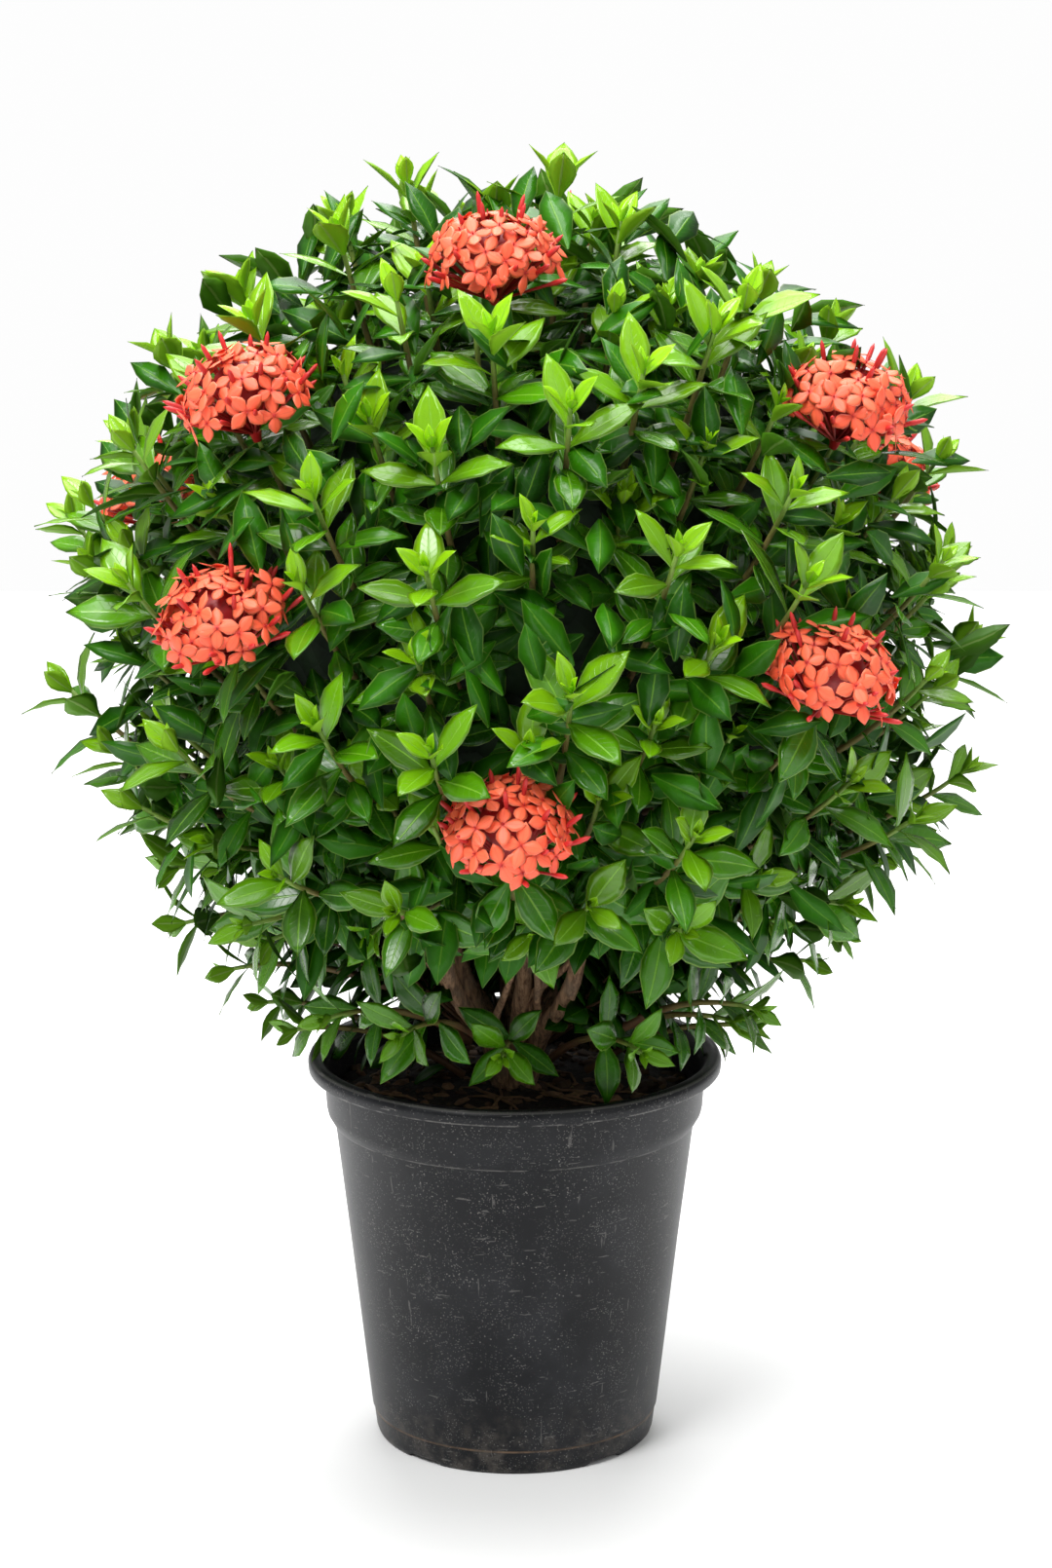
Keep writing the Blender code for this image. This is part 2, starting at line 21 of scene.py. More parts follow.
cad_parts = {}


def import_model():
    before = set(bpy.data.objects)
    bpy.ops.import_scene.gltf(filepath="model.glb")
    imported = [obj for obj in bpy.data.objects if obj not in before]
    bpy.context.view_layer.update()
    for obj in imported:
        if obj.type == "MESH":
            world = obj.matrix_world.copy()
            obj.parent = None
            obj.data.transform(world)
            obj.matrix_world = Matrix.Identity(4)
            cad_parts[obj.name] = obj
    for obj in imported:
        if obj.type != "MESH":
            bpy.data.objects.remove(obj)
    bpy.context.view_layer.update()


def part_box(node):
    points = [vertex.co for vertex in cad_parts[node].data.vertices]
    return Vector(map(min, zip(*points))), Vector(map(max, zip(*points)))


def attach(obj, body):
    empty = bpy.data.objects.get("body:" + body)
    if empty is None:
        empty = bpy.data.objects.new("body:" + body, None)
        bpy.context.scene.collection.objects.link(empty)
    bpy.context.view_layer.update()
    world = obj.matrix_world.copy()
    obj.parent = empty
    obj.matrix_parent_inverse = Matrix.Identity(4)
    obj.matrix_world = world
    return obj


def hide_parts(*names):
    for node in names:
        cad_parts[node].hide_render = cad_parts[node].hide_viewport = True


log = logging.getLogger("ixora")

UP = Vector((0.0, 0.0, 1.0))
GOLDEN_TURN = math.radians(137.508)
BODY = "root"
TWIG_SLOT = 2
TUBE_SLOT = 1

Socket = bpy.types.NodeSocket
Triple = tuple[float, float, float]
Shoot = tuple[int, Vector, Vector | None]
PLAIN_TONE: Triple = (0.0, 0.5, 0.0)


class Slot(Enum):
    """The record's material slots."""

    PLASTIC = "black_plastic"
    MIX = "potting_mix"
    BARK = "bark"
    LEAF = "leaf"
    INNER_LEAF = "inner_leaf"
    PETAL = "petal"


class Seed(IntEnum):
    """Where each kind of piece starts its random numbers."""

    LITTER = 5
    INNER = 11
    SKIRT = 12
    BARK = 90
    HEAD = 300
    STEM = 500
    OUTLINE = 700
    SPARE = 900


def held(value: float) -> float:
    """Holds a value between 0 and 1."""
    return min(1.0, max(0.0, value))


def scatter(draw: random.Random, spread: float) -> Vector:
    """Draws a small random offset on three axes."""
    return Vector([draw.gauss(0.0, spread) for _ in range(3)])


def spiral(index: int, count: int, lowest: float, start: float = 0.5) -> Vector:
    """Gives one of many directions set evenly down a sphere, each a golden turn from the last.

    Args:
        index: Which one, from 0.
        count: How many there are.
        lowest: Where the last one ends, as the sine of the height.
        start: Where in its own band each one lies.

    Returns:
        The direction.
    """
    z = 1.0 - (1.0 - lowest) * (index + start) / count
    flat, turn = math.sqrt(1.0 - z * z), index * GOLDEN_TURN
    return Vector((flat * math.cos(turn), flat * math.sin(turn), z))


def leaning(pitch: float) -> Matrix:
    """Turns a blade away from its twig by a number of degrees."""
    return Matrix.Rotation(math.radians(90.0 - pitch), 4, "X")


def close_mesh(bm: bmesh.types.BMesh, name: str) -> bpy.types.Mesh:
    """Writes the working mesh into a new mesh.

    Args:
        bm: The working mesh, which is freed.
        name: The new mesh's name.

    Returns:
        The mesh.
    """
    mesh = bpy.data.meshes.new(name)
    bm.to_mesh(mesh)
    bm.free()
    return mesh


def stand(name: str, data: bpy.types.ID) -> bpy.types.Object:
    """Puts a mesh, light or camera into the scene.

    Args:
        name: The object's name.
        data: What it shows.

    Returns:
        The object.
    """
    made = bpy.data.objects.new(name, data)
    bpy.context.scene.collection.objects.link(made)
    return made


def turn_profile(bm: bmesh.types.BMesh, line: list[tuple[float, float]], steps: int) -> None:
    """Turns a line of radii and heights about the upright axis into a closed form.

    Args:
        bm: The mesh it goes into.
        line: The line, which starts and ends on the axis.
        steps: How many steps the turn has.
    """
    points = [bm.verts.new((radius, 0.0, z)) for radius, z in line]
    edges = [bm.edges.new(pair) for pair in zip(points, points[1:])]
    bmesh.ops.spin(
        bm, geom=points + edges, cent=(0, 0, 0), axis=(0, 0, 1), angle=math.tau, steps=steps, use_merge=True
    )
    bmesh.ops.remove_doubles(bm, verts=bm.verts, dist=0.00001)
    bmesh.ops.recalc_face_normals(bm, faces=bm.faces)


def direction(turn: float, height: float) -> Vector:
    """Works out a unit vector on the crown.

    Args:
        turn: Degrees round from the front, positive to the right.
        height: Degrees above the horizon.

    Returns:
        The direction from the crown's centre.
    """
    a, e = math.radians(turn), math.radians(height)
    return Vector((math.sin(a) * math.cos(e), -math.cos(a) * math.cos(e), math.sin(e)))


def frame_along(axis: Vector, place: Vector, turn: float = 0.0) -> Matrix:
    """Makes a matrix whose Z runs along an axis.

    Args:
        axis: The unit vector that Z follows.
        place: Where its origin goes.
        turn: Radians turned about the axis.

    Returns:
        The matrix.
    """
    rotation = axis.to_track_quat("Z", "Y").to_matrix().to_4x4()
    return Matrix.Translation(place) @ rotation @ Matrix.Rotation(turn, 4, "Z")


# Materials
class NodeBench:
    """A material's node tree, with short ways to add and wire its nodes."""

    def __init__(self, name: str) -> None:
        """Makes the material.

        Args:
            name: The material's name.
        """
        self.material = bpy.data.materials.new(name)
        self.material.use_nodes = True
        self.tree = self.material.node_tree
        self.shader = self.tree.nodes["Principled BSDF"]

    def wire(self, source: object, target: Socket) -> None:
        """Links a socket to a target, or sets the target to a plain value.

        Args:
            source: An output socket, or a number or colour.
            target: The input socket.
        """
        if isinstance(source, Socket):
            self.tree.links.new(source, target)
        else:
            target.default_value = source

    def math(self, operation: str, *values: object, clamp: bool = False) -> Socket:
        """Adds a Math node.

        Args:
            operation: The node's operation.
            values: Its inputs, sockets or numbers.
            clamp: Whether the result is held between 0 and 1.

        Returns:
            The node's output.
        """
        node = self.tree.nodes.new("ShaderNodeMath")
        node.operation = operation
        node.use_clamp = clamp
        for value, socket in zip(values, node.inputs):
            self.wire(value, socket)
        return node.outputs[0]

    def times(self, a: object, b: object) -> Socket:
        """Multiplies two values."""
        return self.math("MULTIPLY", a, b)

    def scaled(self, value: object, by: object, plus: object, clamp: bool = False) -> Socket:
        """Multiplies a value and adds to it."""
        return self.math("MULTIPLY_ADD", value, by, plus, clamp=clamp)

    def ramp(
        self, value: object, low: float, high: float, to_low: float = 0.0, to_high: float = 1.0
    ) -> Socket:
        """Maps a value smoothly from one range to another.

        Args:
            value: The value's socket.
            low: The start of its range.
            high: The end of its range.
            to_low: What the start becomes.
            to_high: What the end becomes.

        Returns:
            The mapped value.
        """
        node = self.tree.nodes.new("ShaderNodeMapRange")
        node.interpolation_type = "SMOOTHSTEP"
        for socket, number in zip(node.inputs, (value, low, high, to_low, to_high)):
            self.wire(number, socket)
        return node.outputs["Result"]

    def mix(self, factor: object, a: object, b: object) -> Socket:
        """Mixes two colours.

        Args:
            factor: How much of the second shows.
            a: The first colour.
            b: The second colour.

        Returns:
            The mixed colour.
        """
        node = self.tree.nodes.new("ShaderNodeMix")
        node.data_type = "RGBA"
        self.wire(factor, node.inputs["Factor"])
        for value, socket in ((a, node.inputs[6]), (b, node.inputs[7])):
            self.wire((*value, 1.0) if isinstance(value, tuple) else value, socket)
        return node.outputs[2]

    def place(self, stretch: Triple = (1.0, 1.0, 1.0)) -> Socket:
        """Gives the object coordinates, stretched.

        Args:
            stretch: The scale on each axis.

        Returns:
            The coordinates.
        """
        coordinates = self.tree.nodes.new("ShaderNodeTexCoord").outputs["Object"]
        mapping = self.tree.nodes.new("ShaderNodeMapping")
        mapping.inputs["Scale"].default_value = stretch
        self.wire(coordinates, mapping.inputs["Vector"])
        return mapping.outputs[0]

    def noise(self, at: object, scale: float, detail: float = 3.0, roughness: float = 0.5) -> Socket:
        """Adds a noise texture.

        Args:
            at: The coordinates.
            scale: The noise's scale.
            detail: How many finer layers it has.
            roughness: How strong the finer layers are.

        Returns:
            The noise's value.
        """
        node = self.tree.nodes.new("ShaderNodeTexNoise")
        for name, value in (("Vector", at), ("Scale", scale), ("Detail", detail), ("Roughness", roughness)):
            self.wire(value, node.inputs[name])
        return node.outputs["Fac"]

    def cells(self, at: object, scale: float) -> Socket:
        """Adds a Voronoi texture.

        Args:
            at: The coordinates.
            scale: How many cells to a metre.

        Returns:
            The distance.
        """
        node = self.tree.nodes.new("ShaderNodeTexVoronoi")
        self.wire(at, node.inputs["Vector"])
        node.inputs["Scale"].default_value = scale
        return node.outputs["Distance"]

    def tone(self) -> list[Socket]:
        """Reads a piece's colour attribute.

        Returns:
            Its red, green and blue.
        """
        node = self.tree.nodes.new("ShaderNodeAttribute")
        node.attribute_name = "tone"
        split = self.tree.nodes.new("ShaderNodeSeparateColor")
        self.wire(node.outputs["Color"], split.inputs[0])
        return list(split.outputs)

    def across_and_along(self) -> tuple[Socket, Socket]:
        """Reads the blade's own coordinates.

        Returns:
            How far a point is from the midrib, 0 to 1, and how far along the blade.
        """
        node = self.tree.nodes.new("ShaderNodeUVMap")
        node.uv_map = "blade"
        split = self.tree.nodes.new("ShaderNodeSeparateXYZ")
        self.wire(node.outputs[0], split.inputs[0])
        middle = self.math("SUBTRACT", split.outputs[0], 0.5)
        return self.times(self.math("ABSOLUTE", middle), 2.0), split.outputs[1]

    def bump(self, height: object, distance: float, strength: float = 1.0, normal: object = None) -> Socket:
        """Adds a bump.

        Args:
            height: The height, 0 to 1.
            distance: How deep 1 is, in metres.
            strength: The bump's strength.
            normal: An earlier bump to add to.

        Returns:
            The normal.
        """
        node = self.tree.nodes.new("ShaderNodeBump")
        node.inputs["Distance"].default_value = distance
        node.inputs["Strength"].default_value = strength
        self.wire(height, node.inputs["Height"])
        if normal is not None:
            self.wire(normal, node.inputs["Normal"])
        return node.outputs[0]

    def finish(
        self, colour: object, roughness: object, normal: object = None, **more: object
    ) -> bpy.types.Material:
        """Wires the shader.

        Args:
            colour: The base colour.
            roughness: The roughness.
            normal: The normal, if it is bumped.
            more: What goes into other sockets, by name with underscores for spaces.

        Returns:
            The material.
        """
        self.wire((*colour, 1.0) if isinstance(colour, tuple) else colour, self.shader.inputs["Base Color"])
        self.wire(roughness, self.shader.inputs["Roughness"])
        if normal is not None:
            self.wire(normal, self.shader.inputs["Normal"])
        for name, value in more.items():
            self.wire(value, self.shader.inputs[name.replace("_", " ")])
        return self.material


@dataclass(frozen=True)
class GlossyLeaf:
    """A leathery, glossy upper leaf face, from yellow-green when young to deep green, darkened by painted
    shade inside and low on the crown.
    """

    mature: Triple = (0.044, 0.232, 0.0014)
    deep: Triple = (0.008, 0.064, 0.0006)
    young: Triple = (0.320, 0.640, 0.004)
    rib: Triple = (0.200, 0.440, 0.030)
    margin: Triple = (0.380, 0.600, 0.110)
    vein_pairs: float = 11.0
    vein_slant: float = -1.7
    shading: float = 0.72
    sheen: float = 0.50
    sheen_lost: float = 0.46
    relief: float = 0.0003

    def build(self) -> bpy.types.Material:
        """Builds the material.

        Returns:
            The material.
        """
        bench = NodeBench("glossy_leaf")
        age, chance, shade = bench.tone()
        across, along = bench.across_and_along()
        spots = bench.noise(bench.place(), 170.0, 2.0)
        varied = bench.scaled(chance, 0.8, bench.times(spots, 0.3))
        grown = bench.mix(varied, self.mature, self.deep)
        base = bench.mix(age, grown, self.young)
        slant = bench.scaled(along, self.vein_pairs, bench.times(across, self.vein_slant))
        wave = bench.math("PINGPONG", slant, 0.5)
        vein = bench.times(bench.ramp(wave, 0.06, 0.0), bench.ramp(across, 0.95, 0.4))
        rib = bench.ramp(across, 0.085, 0.02)
        lines = bench.scaled(vein, 0.15, bench.times(rib, 0.60), clamp=True)
        base = bench.mix(lines, base, self.rib)
        # Pale band along the blade's edge: partly the leaf's own edge colour, partly a painted edge
        # highlight.
        base = bench.mix(bench.times(bench.ramp(across, 0.88, 0.99), 0.55), base, self.margin)
        # Painted shade: the tone's shade channel darkens the blade towards deep green where the crown would
        # shadow it.
        base = bench.mix(bench.times(shade, self.shading), base, self.deep)
        roughness = bench.scaled(spots, 0.16, 0.12)
        ridges = bench.scaled(vein, 0.35, rib)
        height = bench.math("SUBTRACT", bench.times(spots, 0.25), ridges)
        normal = bench.bump(height, self.relief, 0.6)
        sheen = bench.scaled(shade, -self.sheen_lost, self.sheen, clamp=True)
        duller = bench.scaled(shade, 0.25, roughness)
        return bench.finish(base, duller, normal, Specular_IOR_Level=sheen)


@dataclass(frozen=True)
class LeafUnderside:
    """The paler, duller underside of a leaf, with its raised midrib, darkened by painted shade where the
    crown would shadow it.
    """

    mature: Triple = (0.074, 0.225, 0.005)
    young: Triple = (0.320, 0.600, 0.018)
    rib: Triple = (0.300, 0.450, 0.120)
    dim: Triple = (0.010, 0.040, 0.002)

    def build(self) -> bpy.types.Material:
        """Builds the material.

        Returns:
            The material.
        """
        bench = NodeBench("leaf_underside")
        age, chance, shade = bench.tone()
        across, _ = bench.across_and_along()
        base = bench.mix(age, self.mature, self.young)
        rib = bench.ramp(across, 0.14, 0.04)
        base = bench.mix(bench.times(rib, 0.7), base, self.rib)
        # Painted shade from the tone's shade channel, plus a little random darkening.
        dimmed = bench.scaled(shade, 0.8, bench.times(chance, 0.15), clamp=True)
        base = bench.mix(dimmed, base, self.dim)
        return bench.finish(base, 0.55, bench.bump(rib, 0.0005, 0.6), Specular_IOR_Level=0.25)


@dataclass(frozen=True)
class Twig:
    """A young stem: green at its tip, then olive, then red-brown bark."""

    green: Triple = (0.180, 0.330, 0.035)
    olive: Triple = (0.170, 0.140, 0.030)
    brown: Triple = (0.150, 0.072, 0.030)
    crack: Triple = (0.040, 0.022, 0.012)

    def build(self) -> bpy.types.Material:
        """Builds the material.

        Returns:
            The material.
        """
        bench = NodeBench("twig")
        age, _, _ = bench.tone()
        base = bench.mix(bench.ramp(age, 0.75, 0.95), self.olive, self.green)
        base = bench.mix(bench.ramp(age, 0.60, 0.25), base, self.brown)
        grain = bench.noise(bench.place((1.0, 1.0, 0.25)), 900.0, 4.0)
        base = bench.mix(bench.times(grain, 0.5), base, self.crack)
        return bench.finish(base, 0.6, bench.bump(grain, 0.0003, 0.6))


@dataclass(frozen=True)
class Bark:
    """Old stems: grey-brown bark with fine length-wise cracks."""

    light: Triple = (0.440, 0.255, 0.140)
    dark: Triple = (0.130, 0.068, 0.036)
    grey: Triple = (0.230, 0.175, 0.125)

    def build(self) -> bpy.types.Material:
        """Builds the material.

        Returns:
            The material.
        """
        bench = NodeBench("old_bark")
        grain = bench.noise(bench.place((1.0, 1.0, 0.18)), 420.0, 6.0, 0.65)
        patches = bench.noise(bench.place(), 60.0, 3.0)
        base = bench.mix(bench.ramp(grain, 0.35, 0.65), self.dark, self.light)
        base = bench.mix(bench.ramp(patches, 0.45, 0.75, 0.0, 0.55), base, self.grey)
        return bench.finish(base, 0.85, bench.bump(grain, 0.0012, 0.9))


@dataclass(frozen=True)
class CoralPetal:
    """A soft petal: salmon coral, paler at its edge and orange-red towards the throat, and paler on florets
    near the head's top as painted top light.
    """

    coral: Triple = (0.970, 0.074, 0.028)
    pale: Triple = (1.000, 0.175, 0.074)
    throat: Triple = (0.560, 0.020, 0.008)
    rim: Triple = (1.000, 0.290, 0.180)

    def build(self) -> bpy.types.Material:
        """Builds the material.

        Returns:
            The material.
        """
        bench = NodeBench("coral_petal")
        top, chance, _ = bench.tone()
        across, along = bench.across_and_along()
        # Paler towards the head's top (painted top light), with a random amount of pale added to each floret.
        top_light_and_tone = bench.scaled(top, 0.45, bench.scaled(chance, 0.35, 0.20), clamp=True)
        base = bench.mix(top_light_and_tone, self.coral, self.pale)
        edge = bench.math("MAXIMUM", bench.ramp(across, 0.70, 1.0), bench.ramp(along, 0.80, 1.0))
        base = bench.mix(bench.times(edge, 0.40), base, self.rim)
        base = bench.mix(bench.ramp(along, 0.26, 0.02, 0.0, 0.9), base, self.throat)
        base = bench.mix(bench.ramp(across, 0.12, 0.0, 0.0, 0.22), base, self.throat)
        grain = bench.noise(bench.place(), 1800.0, 2.0)
        return bench.finish(
            base, 0.48, bench.bump(grain, 0.00012, 0.5), Subsurface_Weight=0.12, Subsurface_Scale=0.004
        )


@dataclass(frozen=True)
class RedTube:
    """Floret tubes, buds and their stalks: deep crimson, brighter towards a bud's point."""

    deep: Triple = (0.300, 0.006, 0.008)
    bright: Triple = (0.600, 0.022, 0.020)

    def build(self) -> bpy.types.Material:
        """Builds the material.

        Returns:
            The material.
        """
        bench = NodeBench("red_tube")
        share, chance, _ = bench.tone()
        base = bench.mix(share, self.deep, self.bright)
        grain = bench.noise(bench.place(), 700.0, 2.0)
        base = bench.mix(bench.times(grain, 0.25), base, self.deep)
        return bench.finish(base, bench.scaled(chance, 0.15, 0.38), bench.bump(grain, 0.0001, 0.4))


@dataclass(frozen=True)
class InnerDark:
    """The shade deep inside the crown."""

    dark: Triple = (0.004, 0.012, 0.004)
    lighter: Triple = (0.010, 0.030, 0.008)

    def build(self) -> bpy.types.Material:
        """Builds the material.

        Returns:
            The material.
        """
        bench = NodeBench("inner_dark")
        clumps = bench.cells(bench.place(), 60.0)
        base = bench.mix(bench.ramp(clumps, 0.2, 0.8), self.lighter, self.dark)
        return bench.finish(base, 0.9, bench.bump(clumps, 0.01, 0.8))


@dataclass(frozen=True)
class ScuffedPlastic:
    """Moulded black polythene: a soft sheen, fine scratches, pale flecks and a dusty, muddy tint towards the
    foot; the pale rings at the lip and the collar crease are part wear, part painted highlight, and the ring
    on the rim's crest is a painted highlight.
    """

    black: Triple = (0.004, 0.0045, 0.006)
    worn: Triple = (0.017, 0.018, 0.021)
    dust_and_highlight: Triple = (0.270, 0.260, 0.245)
    mud: Triple = (0.150, 0.130, 0.110)
    silt: Triple = (0.200, 0.130, 0.080)
    foot_z: float = 0.060
    crest_z: float = 0.2668
    lip_z: float = 0.2583
    crease_z: float = 0.2226
    groove_z: float = 0.0168

    @staticmethod
    def _line(bench: NodeBench, height: Socket, level: float) -> Socket:
        """Draws a thin ring round the pot.

        Args:
            bench: The material's nodes.
            height: The height's socket.
            level: The ring's height.

        Returns:
            The ring's strength, 0 to 1.
        """
        gap = bench.math("ABSOLUTE", bench.math("SUBTRACT", height, level))
        return bench.ramp(gap, 0.0010, 0.0003)

    def build(self) -> bpy.types.Material:
        """Builds the material.

        Returns:
            The material.
        """
        bench = NodeBench("scuffed_black_plastic")
        at = bench.place()
        split = bench.tree.nodes.new("ShaderNodeSeparateXYZ")
        bench.wire(at, split.inputs[0])
        z = split.outputs[2]
        cloud = bench.noise(at, 14.0, 5.0, 0.6)
        base = bench.mix(bench.ramp(cloud, 0.38, 0.75), self.black, self.worn)
        flecks = bench.times(
            bench.ramp(bench.cells(at, 300.0), 0.20, 0.07), bench.ramp(bench.noise(at, 34.0, 3.0), 0.40, 0.58)
        )
        dots = bench.times(
            bench.ramp(bench.cells(at, 600.0), 0.30, 0.12), bench.ramp(bench.noise(at, 55.0, 2.0), 0.34, 0.60)
        )
        crossed = bench.noise(bench.place((1.0, 1.0, 0.10)), 230.0, 3.0, 0.6)
        slanted = bench.noise(bench.place((0.25, 0.25, 1.6)), 260.0, 2.0, 0.6)
        scratches = bench.math(
            "MAXIMUM", bench.ramp(crossed, 0.672, 0.715), bench.ramp(slanted, 0.675, 0.715)
        )
        marks = bench.scaled(scratches, 0.24, bench.scaled(flecks, 0.52, bench.times(dots, 0.40)), clamp=True)
        broken = bench.ramp(bench.noise(at, 70.0, 3.0, 0.7), 0.40, 0.62)
        # Pale rings at the lip's lower edge and the collar crease: part edge wear, part painted highlight.
        edges = bench.math("MAXIMUM", self._line(bench, z, self.lip_z), self._line(bench, z, self.crease_z))
        edges = bench.times(edges, broken)
        # Painted highlight: a faint pale ring along the rim's crest.
        crest_highlight = self._line(bench, z, self.crest_z)
        groove = bench.times(self._line(bench, z, self.groove_z), bench.scaled(broken, 0.6, 0.4))
        low = bench.times(
            bench.ramp(z, self.foot_z, 0.004), bench.ramp(bench.noise(at, 90.0, 5.0, 0.7), 0.42, 0.72)
        )
        base = bench.mix(bench.times(low, 0.38), base, self.mud)
        base = bench.mix(marks, base, self.dust_and_highlight)
        # Lip and crease rings: part wear, part painted highlight.
        base = bench.mix(bench.times(edges, 0.34), base, self.dust_and_highlight)
        # Painted highlight on the rim's crest.
        base = bench.mix(bench.times(crest_highlight, 0.22), base, self.dust_and_highlight)
        base = bench.mix(bench.times(groove, 0.60), base, self.silt)
        roughness = bench.scaled(cloud, 0.22, bench.scaled(marks, 0.25, 0.30))
        grain = bench.noise(at, 1500.0, 2.0)
        height = bench.scaled(marks, -0.6, bench.times(grain, 0.35))
        normal = bench.bump(height, 0.0003, 0.5)
        return bench.finish(base, roughness, bench.bump(cloud, 0.002, 0.25, normal), Specular_IOR_Level=0.22)


@dataclass(frozen=True)
class PottingMix:
    """Dark crumbly peat with paler fibre."""

    peat: Triple = (0.012, 0.007, 0.004)
    crumb: Triple = (0.060, 0.035, 0.020)

    def build(self) -> bpy.types.Material:
        """Builds the material.

        Returns:
            The material.
        """
        bench = NodeBench("potting_mix")
        lumps = bench.cells(bench.place(), 240.0)
        fine = bench.noise(bench.place(), 700.0, 5.0, 0.7)
        base = bench.mix(bench.ramp(fine, 0.35, 0.70), self.peat, self.crumb)
        base = bench.mix(bench.ramp(lumps, 0.15, 0.55), base, self.peat)
        height = bench.scaled(lumps, -0.8, fine)
        return bench.finish(base, 0.95, bench.bump(height, 0.003, 0.9))


@dataclass(frozen=True)
class DryLitter:
    """Chips of bark and dry leaf bits on the soil."""

    dark: Triple = (0.045, 0.024, 0.013)
    light: Triple = (0.300, 0.170, 0.085)
    crack: Triple = (0.030, 0.017, 0.010)

    def build(self) -> bpy.types.Material:
        """Builds the material.

        Returns:
            The material.
        """
        bench = NodeBench("dry_litter")
        _, chance, _ = bench.tone()
        grain = bench.noise(bench.place(), 500.0, 4.0)
        base = bench.mix(chance, self.dark, self.light)
        base = bench.mix(bench.times(grain, 0.6), base, self.crack)
        return bench.finish(base, 0.9, bench.bump(grain, 0.0006, 0.7))


# Blades, tubes and stamping
def make_tone(bm: bmesh.types.BMesh) -> bmesh.types.BMLayerItem:
    """Gives a mesh the colour attribute that the finishes read.

    Args:
        bm: The mesh.

    Returns:
        The attribute's layer.
    """
    return bm.verts.layers.float_color.get("tone") or bm.verts.layers.float_color.new("tone")


@dataclass
class BladeShape:
    """The outline and bend of a leaf or petal, for a length of one."""

    name: str
    width: float = 0.39
    widest: float = 0.52
    stalk: float = 0.035
    fold: float = 0.20
    arch: float = 0.16
    cup: float = 0.10
    ripple: float = 0.006
    point: float = 1.14
    thickness: float = 0.014
    columns: int = 4
    rows: int = 6
    both_faces: bool = True

    def half_width(self, share: float) -> float:
        """Gives the half width at a share of the length.

        Args:
            share: How far along, 0 to 1.

        Returns:
            The half width.
        """
        if share >= 0.999:
            return 0.0
        stretch = share ** (math.log(0.5) / math.log(self.widest))
        swell = math.sin(math.pi * stretch) ** self.point
        return max(self.width / 2 * swell, self.stalk / 2 * (1.0 - share))

    def template(self) -> bpy.types.Mesh:
        """Builds the blade once, closed, its upper face in slot 0 and its underside in slot 1.

        Returns:
            The mesh, with its root at the origin, its length along Y and its upper face up.
        """
        bm = bmesh.new()
        blade_map = bm.loops.layers.uv.new("blade")
        make_tone(bm)
        bmesh.ops.create_grid(bm, x_segments=self.columns, y_segments=self.rows, size=0.5)
        for face in bm.faces:
            for loop in face.loops:
                loop[blade_map].uv = (loop.vert.co.x + 0.5, loop.vert.co.y + 0.5)
        lower = bmesh.ops.duplicate(bm, geom=bm.faces[:])["geom"]
        lower_faces = [item for item in lower if isinstance(item, bmesh.types.BMFace)]
        lower_verts = {vertex for face in lower_faces for vertex in face.verts}
        bmesh.ops.reverse_faces(bm, faces=lower_faces)
        for face in lower_faces:
            face.material_index = 1 if self.both_faces else 0
        for vertex in bm.verts:
            across, share = vertex.co.x * 2, vertex.co.y + 0.5
            half = self.half_width(share)
            lift = abs(across) * half * self.fold - across * across * half * self.cup
            lift += self.ripple * math.sin(share * 17.0) * across
            lift -= self.arch * share * share
            if vertex in lower_verts:
                body = (1.0 - across * across) * (0.35 + 0.65 * math.sin(math.pi * min(share, 0.96)))
                lift -= self.thickness * body * (1.0 if share < 0.999 else 0.0)
            vertex.co = Vector((across * half, share * (1.0 - 0.35 * self.arch * share), lift))
        bmesh.ops.remove_doubles(bm, verts=bm.verts, dist=0.00002)
        bmesh.ops.recalc_face_normals(bm, faces=bm.faces)
        for face in bm.faces:
            face.smooth = True
        return close_mesh(bm, self.name)


